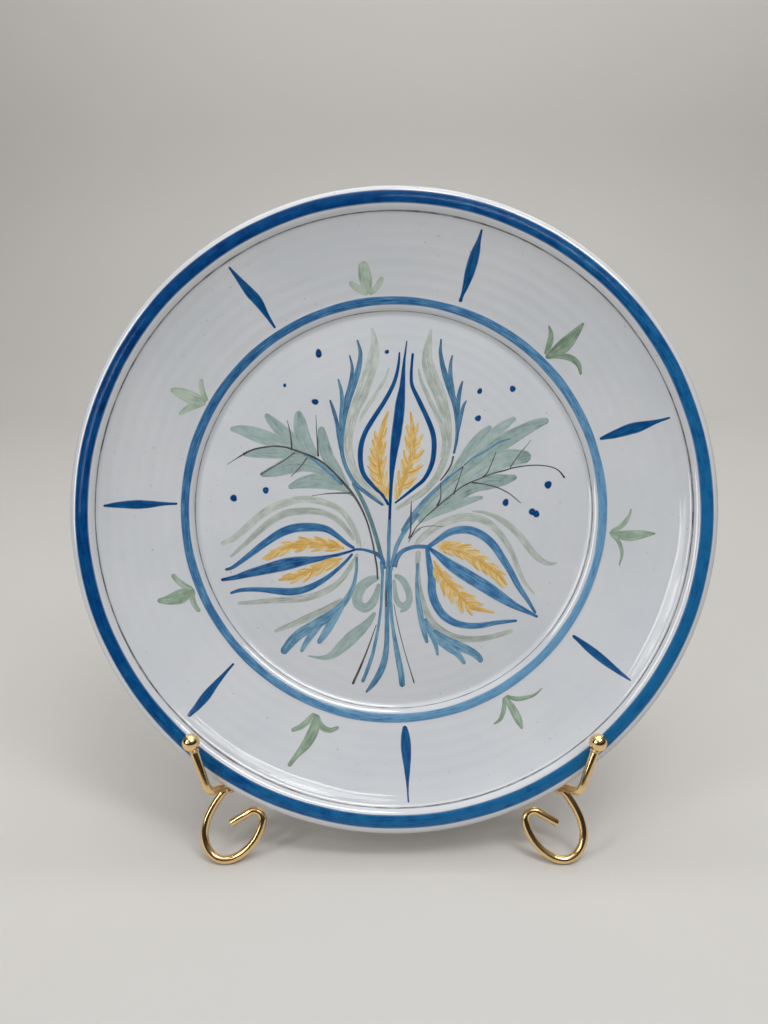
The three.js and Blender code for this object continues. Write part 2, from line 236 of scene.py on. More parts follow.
class Brush:
    """Brush strokes gathered into one thin painted mesh that lies on the glaze."""

    COLUMNS = np.array([-1, -0.86, -0.5, 0, 0.5, 0.86, 1])

    def __init__(self, seed, lift):
        self.hand = random.Random(seed)
        self.lift = lift
        self.places = []
        self.faces = []
        self.streaks = []
        self.marks = []
        self.count = 0

    def lay(self, across, up, lift, along, edge, reach, tone, closed=False):
        """Adds a grid of painted points. Rows run along the stroke and columns run over it."""
        rows, columns = across.shape
        height = lift * (0.42 + 0.58 * (1 - edge**2))
        self.faces += grid_faces(rows, columns, len(self.places), wrap_rows=closed)
        self.places += list(on_glaze(across, up, height).reshape(-1, 3))
        shift = self.count * 3.7
        streaks = [along * 0.1 + shift, edge * 0.5 + 0.5 + shift]
        marks = [reach, np.abs(edge), np.broadcast_to(tone, edge.shape), np.ones(edge.shape)]
        self.streaks += list(np.stack(streaks, -1).reshape(-1, 2))
        self.marks += list(np.stack(marks, -1).reshape(-1, 4))
        self.count += 1

    def stroke(self, points, lift=0.0, tone=None, wobble=0.05):
        """A stroke through points of across, up and width in mm, rounded at its ends."""
        line = flowing(points)
        step = np.hypot(*np.diff(line[:, :2], axis=0).T)
        run = np.concatenate([[0], np.cumsum(step)])
        length = run[-1]
        stops = list(np.arange(0, length, 0.8))
        tip = [0.0, 0.03, 0.12, 0.28, 0.5, 0.75, 1.0]
        stops += [k * line[0, 2] / 2 for k in tip] + [length - k * line[-1, 2] / 2 for k in tip]
        stops = np.unique(np.clip(np.round(stops, 4), 0, length))
        at = [np.interp(stops, run, line[:, k]) for k in range(3)]
        heading = np.stack([np.gradient(at[0], stops), np.gradient(at[1], stops)], -1)
        heading /= np.linalg.norm(heading, axis=1)[:, None]
        half = np.maximum(at[2], 0.05) / 2
        for distance, end in ((stops, line[0, 2] / 2), (length - stops, line[-1, 2] / 2)):
            share = np.clip(distance / max(end, 0.05), 0, 1)
            half = half * np.sqrt(np.maximum(1 - (1 - share) ** 2, 0.0004))
        sway = [self.ragged(stops, wobble) for _ in (0, 1)]
        columns = self.COLUMNS
        spread = np.where(columns[None, :] < 0, 1 + sway[0][:, None], 1 + sway[1][:, None])
        offset = half[:, None] * columns[None, :] * spread
        across = at[0][:, None] - heading[:, 1:2] * offset
        up = at[1][:, None] + heading[:, 0:1] * offset
        edge = np.broadcast_to(columns, across.shape)
        along = np.broadcast_to(stops[:, None], across.shape)
        reach = along / length
        tone = self.hand.uniform(0.35, 0.65) if tone is None else tone
        height = self.lift + lift + self.count * 0.0006
        self.lay(across, up, height, along, edge, reach, tone)

    def ragged(self, stops, amount):
        """A slow and a quick waver of a brush's edge along a stroke."""
        a, b, c, d = (self.hand.uniform(0, 6.28) for _ in range(4))
        slow = np.sin(stops / 5.1 + a) + 0.6 * np.sin(stops / 2.3 + b)
        quick = 0.35 * np.sin(stops / 0.9 + c) + 0.25 * np.sin(stops / 0.47 + d)
        return amount * (slow + quick) * 0.6

    def strokes(self, lines, tone, spread=0.0, wobble=0.05):
        """Several strokes with the same load of paint, or one that varies by a spread."""
        for points in lines:
            load = tone + self.hand.uniform(-spread, spread) if spread else tone
            self.stroke(points, tone=load, wobble=wobble)

    def dot(self, across, up, width, height, turn):
        """A dab of the loaded brush."""
        rings = np.array([0.04, 0.35, 0.65, 0.88, 1.0])
        angles = np.linspace(0, 2 * math.pi, 36, endpoint=False)
        a, b = self.hand.uniform(0, 6.28), self.hand.uniform(0, 6.28)
        wave = 1 + 0.06 * np.sin(2 * angles + a) + 0.045 * np.sin(3 * angles + b)
        x = np.cos(angles) * wave * width / 2
        y = np.sin(angles) * wave * height / 2
        turn = math.radians(turn)
        dx, dy = x * math.cos(turn) - y * math.sin(turn), x * math.sin(turn) + y * math.cos(turn)
        grid_x = across + dx[:, None] * rings[None, :]
        grid_y = up + dy[:, None] * rings[None, :]
        edge = np.broadcast_to(rings, grid_x.shape)
        along = np.broadcast_to((angles * 0.5)[:, None], grid_x.shape)
        reach = np.full(grid_x.shape, 0.5)
        tone = self.hand.uniform(0.4, 0.7)
        self.lay(grid_x, grid_y, self.lift, along, edge, reach, tone, closed=True)

    def ring(self, radius, width, waver=0.2, waves=(3, 7, 11, 23), tone=0.5, painted_shade_swing=0.0):
        """A band drawn round the plate as it turns on the wheel, painted darker at its upper left
        as shade and lighter at its lower right as a highlight.
        """
        angles = np.linspace(0, 2 * math.pi, 720, endpoint=False)
        columns = np.linspace(-1, 1, 9)
        edges = []
        for _ in (0, 1):
            sways = [
                np.sin(w * angles + self.hand.uniform(0, 6.28)) / (1 + 0.4 * k)
                for k, w in enumerate(waves)
            ]
            edges.append(sum(sways) * waver / 3)
        inner = radius - width / 2 + edges[0]
        outer = radius + width / 2 + edges[1]
        share = (columns[None, :] + 1) / 2
        r = inner[:, None] * (1 - share) + outer[:, None] * share
        across = r * np.cos(angles)[:, None]
        up = r * np.sin(angles)[:, None]
        along = np.broadcast_to((angles * radius)[:, None], r.shape)
        edge = np.broadcast_to(columns, r.shape)
        # painted shade and highlight: the paint's load rises towards the upper left and falls
        # towards the lower right, so the band is darker on one side and lighter on the other
        tone = (tone + painted_shade_swing * np.cos(angles - math.radians(140)))[:, None]
        self.lay(across, up, self.lift, along, edge, np.full(r.shape, 0.5), tone, closed=True)

    def piece(self, name, material):
        """The painted mesh, riding on the plate."""
        made = piece(name, leaned(self.places), self.faces, material, "plate")
        mesh = made.data
        loops = np.zeros(len(mesh.loops), int)
        mesh.loops.foreach_get("vertex_index", loops)
        layer = mesh.uv_layers.new(name="Brush")
        layer.data.foreach_set("uv", np.asarray(self.streaks, np.float32)[loops].ravel())
        marks = mesh.color_attributes.new("stroke", "FLOAT_COLOR", "POINT")
        marks.data.foreach_set("color", np.asarray(self.marks, np.float32).ravel())
        keep_places(made, self.places)
        return made


# ---- Shader helpers ---------------------------------------------------------------------------


def put(tree, kind, settings=None, sockets=None):
    """A shader node with its settings and its sockets, each a value or another node's output."""
    made = tree.nodes.new("ShaderNode" + kind)
    for name, value in (settings or {}).items():
        setattr(made, name, value)
    for name, value in (sockets or {}).items():
        socket = made.inputs[name]
        if isinstance(value, bpy.types.NodeSocket):
            tree.links.new(value, socket)
        else:
            socket.default_value = value
    return made


def reckon(tree, operation, a, b=0.0, clamp=False):
    """One sum on values or sockets, as a socket."""
    return put(tree, "Math", {"operation": operation, "use_clamp": clamp}, {0: a, 1: b}).outputs[0]


def times(tree, a, b):
    return reckon(tree, "MULTIPLY", a, b)


def plus(tree, a, b, clamp=False):
    return reckon(tree, "ADD", a, b, clamp)


def blended(tree, share, a, b):
    """Two colours mixed."""
    a, b = [v if isinstance(v, bpy.types.NodeSocket) else (*v[:3], 1) for v in (a, b)]
    made = put(tree, "Mix", {"data_type": "RGBA"}, {0: share, 6: a, 7: b})
    return made.outputs[2]


def ranged(tree, value, low, high, to_low=0.0, to_high=1.0, smooth=False):
    """A value moved from one range to another."""
    settings = {"interpolation_type": "SMOOTHSTEP"} if smooth else {}
    limits = {"From Min": low, "From Max": high, "To Min": to_low, "To Max": to_high}
    return put(tree, "MapRange", settings, {"Value": value, **limits}).outputs[0]


def noise(tree, place, scale, detail=3.0, roughness=0.55, distortion=0.0):
    sockets = {
        "Vector": place,
        "Scale": scale,
        "Detail": detail,
        "Roughness": roughness,
        "Distortion": distortion,
    }
    return put(tree, "TexNoise", {}, sockets).outputs[0]


def stretched(tree, place, scale):
    sockets = {"Vector": place, "Scale": scale}
    return put(tree, "Mapping", {"vector_type": "POINT"}, sockets).outputs[0]


def effect(name, inputs, outputs, build):
    """A shader node group, made once and shared by the materials that use it."""
    if name in bpy.data.node_groups:
        return bpy.data.node_groups[name]
    group = bpy.data.node_groups.new(name, "ShaderNodeTree")
    for label, kind, default in inputs:
        socket = group.interface.new_socket(label, in_out="INPUT", socket_type="NodeSocket" + kind)
        socket.default_value = default
    for label, kind in outputs:
        group.interface.new_socket(label, in_out="OUTPUT", socket_type="NodeSocket" + kind)
    given = group.nodes.new("NodeGroupInput")
    result = group.nodes.new("NodeGroupOutput")
    for label, value in build(group, given.outputs).items():
        group.links.new(value, result.inputs[label])
    return group


def use(tree, group, **sockets):
    """The outputs of a shared effect, given values for its inputs."""
    made = tree.nodes.new("ShaderNodeGroup")
    made.node_tree = group
    for name, value in sockets.items():
        label = name.replace("_", " ").capitalize()
        if isinstance(value, bpy.types.NodeSocket):
            tree.links.new(value, made.inputs[label])
        else:
            made.inputs[label].default_value = value
    return made.outputs


def new_material(name):
    """A material with an empty node tree, and that tree."""
    material = bpy.data.materials.new(name)
    material.use_nodes = True
    tree = material.node_tree
    tree.nodes.clear()
    return material, tree


def finished(tree, shader):
    """Links a shader to the material's surface."""
    output = put(tree, "OutputMaterial")
    tree.links.new(shader.outputs[0], output.inputs[0])


def throwing_ripples():
    """Ripples left by the wheel and the slow swell of thick glaze, as a height in mm."""

    def build(tree, given):
        place = put(tree, "Attribute", {"attribute_name": "plate_place"}).outputs["Vector"]
        parts = put(tree, "SeparateXYZ", {}, {0: place}).outputs
        across = times(tree, parts[0], parts[0])
        up = times(tree, parts[2], parts[2])
        radius = reckon(tree, "SQRT", plus(tree, across, up))
        swell = noise(tree, place, 1.6, 2.0)
        bent = plus(tree, radius, times(tree, swell, 0.05))
        wave = reckon(tree, "SINE", times(tree, bent, 110.0))
        slow = reckon(tree, "SINE", times(tree, bent, 37.0))
        ripple = times(tree, plus(tree, wave, slow), given["Ripple"])
        broad = times(tree, noise(tree, place, 5.0, 2.0), given["Swell"])
        pits = ranged(tree, noise(tree, place, 120.0, 1.0), 0.78, 0.84, 0.0, -0.008)
        return {"Height": plus(tree, plus(tree, ripple, broad), pits), "Radius": radius}

    return effect(
        "Throwing ripples",
        [("Ripple", "Float", 0.01), ("Swell", "Float", 0.12)],
        [("Height", "Float"), ("Radius", "Float")],
        build,
    )


def brush_load():
    """How much paint the brush left: streaks of its hairs, a pool at the edges and dark ends."""

    def build(tree, given):
        run = put(tree, "UVMap", {"uv_map": "Brush"}).outputs[0]
        marks = put(tree, "Attribute", {"attribute_name": "stroke"}).outputs["Color"]
        parts = put(tree, "SeparateColor", {}, {0: marks}).outputs
        hairs = noise(tree, stretched(tree, run, (0.6, 5.5, 1.0)), 1.6, 4.0, 0.6, 0.25)
        hairs = ranged(tree, hairs, 0.32, 0.70, -1.0, 1.0)
        patches = noise(tree, stretched(tree, run, (0.9, 0.6, 1.0)), 1.7, 2.0)
        patches = ranged(tree, patches, 0.3, 0.7, -1.0, 1.0)
        edge = reckon(tree, "POWER", parts[1], 5.0)
        ends = reckon(tree, "ABSOLUTE", reckon(tree, "SUBTRACT", times(tree, parts[0], 2.0), 1.0))
        ends = reckon(tree, "POWER", ends, 9.0)
        load = plus(tree, parts[2], times(tree, hairs, given["Streaks"]))
        load = plus(tree, load, times(tree, patches, given["Patches"]))
        load = plus(tree, load, times(tree, edge, given["Pool"]))
        load = plus(tree, load, times(tree, ends, given["Ends"]), clamp=True)
        return {"Load": load, "Edge": parts[1], "Height": times(tree, hairs, 0.006)}

    return effect(
        "Brush load",
        [(label, "Float", 0.2) for label in ("Streaks", "Patches", "Pool", "Ends")],
        [("Load", "Float"), ("Edge", "Float"), ("Height", "Float")],
        build,
    )


def bumped(tree, height):
    """Normals from a height in mm."""
    sockets = {"Strength": 1.0, "Distance": 0.001, "Height": height}
    return put(tree, "Bump", {}, sockets).outputs[0]


def paint(name, thin, full, deep, streaks=0.22, patches=0.16, pool=0.18, ends=0.22, shine=0.5):
    """A brushed glaze colour that runs from a thin wash to a deep pool."""
    if name in bpy.data.materials:
        return bpy.data.materials[name]
    material, tree = new_material(name)
    settings = bpy.context.scene.plate_settings
    ripple = settings.ripple_height * 1000
    load = use(tree, brush_load(), streaks=streaks, patches=patches, pool=pool, ends=ends)
    under = use(tree, throwing_ripples(), ripple=ripple * 0.5, swell=0.10)
    colour = blended(tree, ranged(tree, load["Load"], 0.0, 0.55, smooth=True), thin, full)
    colour = blended(tree, ranged(tree, load["Load"], 0.5, 1.0, smooth=True), colour, deep)
    bleed = ranged(tree, load["Edge"], 0.80, 1.0, 0.0, 0.55)
    fringe = blended(tree, 0.6, thin, tuple(settings.glaze))
    colour = blended(tree, bleed, colour, fringe)
    height = plus(tree, under["Height"], load["Height"])
    shader = put(tree, "BsdfPrincipled", {}, {
        "Base Color": colour,
        "Roughness": ranged(tree, load["Load"], 0.0, 1.0, 0.13, 0.05),
        "Specular IOR Level": shine,
        "Normal": bumped(tree, height),
        "IOR": 1.5,
        "Coat Roughness": 0.06,
        "Coat Weight": 0.24 * shine,
    })
    finished(tree, shader)
    return material


def tinted(colour, factor, towards=(1.0, 1.0, 1.0), share=0.0):
    """A colour moved part of the way towards another, then scaled."""
    return tuple((c * (1 - share) + t * share) * factor for c, t in zip(colour, towards))


def watered(colour, strength):
    """A glaze colour at another thickness, which the light crosses that many times over."""
    return tuple(c**strength for c in colour)


# Each wash's colour setting, how strong its thinnest and deepest paint are, and its brushwork
WASHES = {
    "cobalt_paint": ("cobalt", 0.70, 1.45, {}),
    "band_paint": ("cobalt", 0.70, 1.4, {"ends": 0.0, "shine": 0.2}),
    "petal_paint": (
        "petal_blue", 0.62, 1.6, {"streaks": 0.34, "patches": 0.20, "pool": 0.20, "ends": 0.34}
    ),
    "stem_teal_paint": ("stem_teal", 0.65, 1.6, {"streaks": 0.26, "patches": 0.24}),
    "soft_blue_paint": (
        "soft_blue", 0.60, 1.7, {"streaks": 0.34, "patches": 0.22, "pool": 0.26, "ends": 0.34}
    ),
    "ring_blue": (
        "petal_blue", 0.60, 1.5, {"streaks": 0.40, "patches": 0.12, "pool": 0.12, "ends": 0.0}
    ),
    "ochre_paint": (
        "ochre", 0.50, 1.5, {"streaks": 0.30, "patches": 0.26, "pool": -0.16, "ends": -0.05}
    ),
    "leaf_green_wash": (
        "leaf_green", 0.70, 1.7, {"streaks": 0.26, "patches": 0.20, "pool": 0.26, "ends": 0.14}
    ),
    "sprig_green_wash": (
        "sprig_green", 0.55, 1.6, {"streaks": 0.26, "patches": 0.26, "pool": 0.20, "ends": 0.26}
    ),
    "sage_wash": (
        "sage", 0.60, 1.5, {"streaks": 0.40, "patches": 0.26, "pool": 0.08, "ends": -0.10}
    ),
}


def wash(name):
    """One of the plate's colours from its thinnest wash to its deepest pool."""
    setting, thin, deep, look = WASHES[name]
    colour = getattr(bpy.context.scene.plate_settings, setting)
    return paint(name, watered(colour, thin), tuple(colour), watered(colour, deep), **look)


def line_paint():
    """Brown for the hairlines, thinned with the glaze."""
    umber = bpy.context.scene.plate_settings.umber
    white = bpy.context.scene.plate_settings.glaze
    thin, full, deep = [tinted(umber, 1.0, white, share) for share in (0.50, 0.22, 0.06)]
    return paint("umber_line", thin, full, deep, streaks=0.2, patches=0.5, pool=-0.2, ends=0.0)


def vein_paint():
    """Brown for the veins, thinned with the leaf's green."""
    umber = bpy.context.scene.plate_settings.umber
    green = bpy.context.scene.plate_settings.leaf_green
    thin, full = [tinted(umber, 1.0, green, share) for share in (0.50, 0.14)]
    look = {"streaks": 0.2, "patches": 0.36, "pool": -0.1, "ends": 0.25}
    return paint("dark_vein", thin, full, tinted(umber, 0.6), **look)


def glaze_material():
    """White tin glaze: faint clouding, specks, painted shade round the well's step, clay showing on
    the lip and the bare foot ring.
    """
    if "white_glaze" in bpy.data.materials:
        return bpy.data.materials["white_glaze"]
    settings = bpy.context.scene.plate_settings
    material, tree = new_material("white_glaze")
    place = put(tree, "Attribute", {"attribute_name": "plate_place"}).outputs["Vector"]
    depth = put(tree, "SeparateXYZ", {}, {0: place}).outputs[1]
    under = use(tree, throwing_ripples(), ripple=settings.ripple_height * 1000, swell=0.12)
    radius = under["Radius"]
    white = settings.glaze
    clouds = ranged(tree, noise(tree, place, 2.2, 4.0), 0.34, 0.68, smooth=True)
    cloud = tinted(white, 0.955, (0.60, 0.70, 0.80), 0.10)
    colour = blended(tree, clouds, cloud, tuple(white))
    mottle = ranged(tree, noise(tree, place, 14.0, 4.0), 0.40, 0.72)
    warm = tinted(white, 0.9, (0.8, 0.7, 0.55), 0.2)
    colour = blended(tree, times(tree, mottle, 0.16), colour, warm)
    specks = ranged(tree, noise(tree, place, 60.0, 0.0), 0.845, 0.865)
    colour = blended(tree, times(tree, specks, 0.35), colour, (0.25, 0.21, 0.18))
    # painted shade: a bluish grey band darkens the glaze round the step down into the well
    from_edge = reckon(tree, "ABSOLUTE", reckon(tree, "SUBTRACT", radius, 0.965))
    step_shade = ranged(tree, from_edge, 0.0, 0.025, 1.0, 0.0)
    colour = blended(tree, times(tree, step_shade, 0.16), colour, (0.36, 0.46, 0.52))
    ragged = times(tree, noise(tree, place, 9.0, 4.0), 0.022)
    lip = ranged(tree, plus(tree, radius, ragged), 1.486, 1.508, smooth=True)
    colour = blended(tree, times(tree, lip, 0.14), colour, tuple(settings.rim_clay))
    foot = ranged(tree, plus(tree, depth, times(tree, ragged, 0.25)), 0.289, 0.2935)
    grain = ranged(tree, noise(tree, place, 70.0, 5.0), 0.3, 0.7)
    bare = blended(tree, grain, (0.50, 0.36, 0.24), (0.70, 0.58, 0.44))
    colour = blended(tree, foot, colour, bare)
    gloss = ranged(tree, noise(tree, place, 6.0, 3.0), 0.3, 0.7, 0.045, 0.085)
    gloss = plus(tree, gloss, times(tree, foot, 0.6))
    height = plus(tree, under["Height"], times(tree, times(tree, grain, foot), 0.05))
    coat = ranged(tree, foot, 0.0, 1.0, 0.5, 0.0)
    shader = put(tree, "BsdfPrincipled", {}, {
        "Base Color": colour,
        "Roughness": gloss,
        "Normal": bumped(tree, height),
        "IOR": 1.5,
        "Coat Weight": coat,
        "Coat Roughness": 0.05,
    })
    finished(tree, shader)
    return material


def metal_wear():
    """Rubbing and patina of plated wire: a mask of dull gold, a gloss and a fine height."""

    def build(tree, given):
        place = put(tree, "TexCoord").outputs["Object"]
        cloud = ranged(tree, noise(tree, place, given["Scale"], 4.0, 0.6), 0.42, 0.68, smooth=True)
        fine = noise(tree, place, 900.0, 3.0, 0.6)
        drawn = stretched(tree, place, (260.0, 260.0, 1400.0))
        rub = ranged(tree, noise(tree, drawn, 1.0, 3.0), 0.3, 0.7)
        gloss = plus(tree, times(tree, cloud, 0.06), times(tree, rub, 0.04))
        height = plus(tree, times(tree, rub, 0.0015), times(tree, fine, 0.002))
        dents = times(tree, noise(tree, place, 120.0, 2.0), 0.05)
        return {"Patina": cloud, "Gloss": gloss, "Height": plus(tree, height, dents)}

    return effect(
        "Metal wear",
        [("Scale", "Float", 60.0)],
        [("Patina", "Float"), ("Gloss", "Float"), ("Height", "Float")],
        build,
    )


def gold_material(name="polished_gold", dull=0.0):
    """Polished gold plated wire, duller and darker where it was brazed."""
    if name in bpy.data.materials:
        return bpy.data.materials[name]
    settings = bpy.context.scene.easel_settings
    material, tree = new_material(name)
    wear = use(tree, metal_wear(), scale=60.0 if not dull else 240.0)
    share = ranged(tree, wear["Patina"], 0.0, 1.0, dull, 0.22 + dull)
    colour = blended(tree, share, tuple(settings.gold), tuple(settings.patina))
    gloss = plus(tree, wear["Gloss"], 0.10 + dull * 0.5)
    shader = put(tree, "BsdfPrincipled", {}, {
        "Base Color": colour,
        "Metallic": 1.0,
        "Roughness": gloss,
        "Normal": bumped(tree, wear["Height"]),
    })
    finished(tree, shader)
    return material


# ---- Painted motifs, in mm across and up from the plate's middle ------------------------------

TALL_TULIP = [
    [(2.8, 76.5, 0.8), (2.5, 72, 1.3), (1.5, 66, 1.7), (-0.5, 60, 2), (-4.5, 52.5, 2.1),
     (-10, 44, 2.4), (-14, 37, 2.5), (-16, 30, 2.6), (-16, 22, 2.5), (-14, 16, 2.3),
     (-9, 10.5, 2.1), (-5, 6.5, 1.8), (-2.5, 2, 1.2)],
    [(9.3, 76, 1.3), (8.8, 71, 1.4), (8.5, 65, 1.6), (9, 60, 1.9), (12, 53.5, 2.3), (16, 45, 2.5),
     (19, 37, 2.6), (19.6, 30, 2.6), (18.5, 22, 2.4), (15, 15, 2), (10, 10.5, 1.7), (5, 6.5, 1.3),
     (0.5, 3, 0.8)],
    [(6.4, 82, 0.6), (5.6, 76, 1), (5, 71, 1.5), (4.2, 60, 2.9), (3.2, 52, 4.6), (2.2, 43, 5.2),
     (1.1, 35, 4.9), (0.1, 28, 3.9), (-0.7, 21, 2.8), (-1.2, 14, 2), (-1.7, 4, 1.6), (-2, -5, 1.5)],
]

LEFT_TULIP = [
    [(-82, -29.3, 1.2), (-78, -28, 1.8), (-70, -22, 2.8), (-62, -16, 3.6), (-55, -11.5, 4.2),
     (-48, -9, 4.4), (-40, -8.6, 4.2), (-33, -9.5, 3.4), (-28, -12.5, 2.6), (-23, -16.5, 2),
     (-19, -19, 1.5)],
    [(-84, -34.3, 1.5), (-77, -33, 2.5), (-70, -31, 4), (-60, -28.5, 5.5), (-52, -26.5, 6),
     (-45, -25.2, 4.8), (-38, -24.2, 3), (-30, -22.8, 2), (-24, -21.2, 1.4), (-18.5, -19.5, 1)],
    [(-79.5, -40.7, 1.2), (-74, -39.2, 2), (-66, -38.9, 2.3), (-58, -39.5, 3.2), (-50, -40, 3.8),
     (-43, -38.8, 3.4), (-36, -35.5, 2.8), (-30, -31.3, 2.1), (-24, -26, 1.6), (-20, -21.5, 1.2)],
    [(-19, -19.4, 1.3), (-15, -19.5, 1.3), (-11, -20.5, 1.6), (-8.5, -21.5, 1.9), (-6, -23.5, 2.2),
     (-4.5, -27, 2)],
]

RIGHT_TULIP = [
    [(16.2, -18.6, 2), (21, -15.3, 2.6), (25, -12.3, 3.2), (29, -10.5, 3.6), (34, -9.8, 3.9),
     (39, -10.6, 4.1), (44, -13.2, 4.1), (49, -18, 4), (53, -24, 3.7), (57, -30.5, 3.3),
     (61, -38, 2.8), (65, -44, 2.1), (69, -50.5, 1.3)],
    [(17.2, -18.8, 1.6), (22, -22.5, 3.2), (27, -26.5, 5), (33, -30.5, 6.1), (40, -34.8, 6.3),
     (46, -38.5, 6), (52, -42.5, 5.2), (58, -46.3, 3.8), (63.5, -49, 2.6), (70, -52.3, 1.2)],
    [(16.2, -18.8, 2), (17.2, -26, 3), (18.4, -33, 3.9), (18.6, -40, 4.2), (20.5, -46, 4.3),
     (24, -51.3, 4), (29, -54.8, 3.5), (35, -56.4, 3.1), (42, -56.4, 2.8), (50, -55, 2.2),
     (60, -54, 1.2)],
    [(17.5, -18.4, 2.1), (12, -18, 2), (7.5, -18.8, 2), (4, -20.5, 2.2), (1.5, -23.5, 2.4),
     (-0.5, -28, 2.2)],
]

STEMS = [
    [(-20, 13, 1.6), (-15.5, 5, 2), (-12, -3, 2.1), (-9, -12, 2.1), (-7, -19, 2.1), (-4.5, -29, 2)],
    [(-2, -4, 1.6), (-2.3, -12, 1.9), (-2.4, -20, 1.8), (-2.8, -30, 2.2), (-3.2, -40, 2.4),
     (-3.2, -48, 2.3), (-3.3, -56, 2.3), (-3.4, -64, 2.6), (-4.2, -72, 3.1), (-6, -78, 3.4),
     (-9.5, -84, 2.8), (-13.5, -89, 1)],
    [(12, -2, 2), (8, -7, 2.3), (4.5, -12, 2.2), (1.8, -17, 2.2), (0, -23, 2), (-1.5, -30, 1.8)],
    [(-6, -25, 2), (-5.5, -32, 1.6), (-5.8, -40, 1.4), (-6.3, -48, 1.3), (-7.3, -56, 1.4),
     (-8.8, -64, 1.6), (-10.5, -71, 1.8), (-12.8, -78, 1.9), (-15.3, -84, 1.8)],
    [(-1.8, -27, 1.8), (-1.5, -34, 1.4), (-1.5, -42, 1.5), (-1.2, -50, 1.6), (-0.3, -58, 1.8),
     (1, -66, 2.4), (2.5, -74, 2.9), (3.6, -80, 3), (4.3, -86.3, 3)],
]

UPPER_FEATHERS = [
    [(-17.7, 82.5, 0.8), (-16.2, 76, 2), (-17, 69, 2.8), (-19, 62, 3), (-22, 53, 3), (-24, 45, 2.8),
     (-25.3, 35, 2.4), (-25, 27, 2), (-22.5, 19, 2), (-18, 12, 2.2), (-12, 7, 1.9), (-5, 2, 1.2)],
    [(-21.5, 75, 0.7), (-20.2, 69, 1.6), (-20.8, 62, 2.2), (-22.8, 54, 2.4), (-24.4, 46, 2)],
    [(-27, 63.5, 0.8), (-25.6, 58, 1.8), (-25, 52, 2.2), (-25.5, 45, 2.2), (-25.6, 38, 1.8)],
    [(-31, 53.3, 0.9), (-29.2, 48, 1.8), (-27.6, 42, 2), (-26.8, 36, 2), (-25.8, 29, 1.4)],
    [(23, 83, 0.7), (22.8, 76, 1.8), (24.5, 67, 2.8), (27.5, 58, 3.2), (30, 50, 2.8),
     (30.9, 42, 2.2), (30.6, 34, 1.6), (29.2, 27, 1.1)],
    [(28.5, 75, 0.7), (27.6, 70, 1.7), (27.6, 64, 2.4), (28.8, 56, 2.4), (30, 49, 1.8)],
    [(33.5, 62.5, 0.8), (32.2, 58, 1.8), (31.4, 53, 2.2), (31.1, 46, 2)],
    [(35.4, 53, 0.6), (34, 50.5, 1.5), (32.8, 46.5, 2), (31.8, 41, 1.7), (31, 36, 1)],
]

LOWER_FEATHERS = [
    [(-18, -23, 1.2), (-18.3, -31, 1.6), (-20, -38, 2.2), (-24, -45, 3.2), (-31, -51.5, 4.6),
     (-38, -56, 5.2), (-45, -60, 5), (-50, -64.5, 4.8), (-54.3, -70, 3.4)],
    [(-35, -55.5, 2), (-39.5, -60.5, 3.2), (-43.3, -66, 2.6), (-45, -69.3, 1.4)],
    [(-22, -41, 1.6), (-26.5, -49, 3.2), (-30.5, -55.5, 4), (-33.5, -60.5, 3.6),
     (-36.7, -65.2, 2.4)],
    [(11.6, -26, 1.2), (11.3, -36, 1.8), (12, -45, 2.6), (13.5, -54, 3.2), (15, -60, 2.8),
     (16.3, -65, 1.5)],
    [(15, -53, 2), (18, -60, 2.8), (20.3, -65.5, 2.2), (21.4, -71, 1.2)],
    [(15.5, -55, 2), (20, -61.2, 4), (26, -66.3, 4.6), (31, -70.3, 3.2), (34.7, -75.2, 1.7)],
    [(19, -59, 2.6), (26, -63.6, 4), (32, -66.6, 4.6), (37.5, -69, 4), (41.4, -72, 3.4),
     (42.6, -74.4, 2.2)],
]

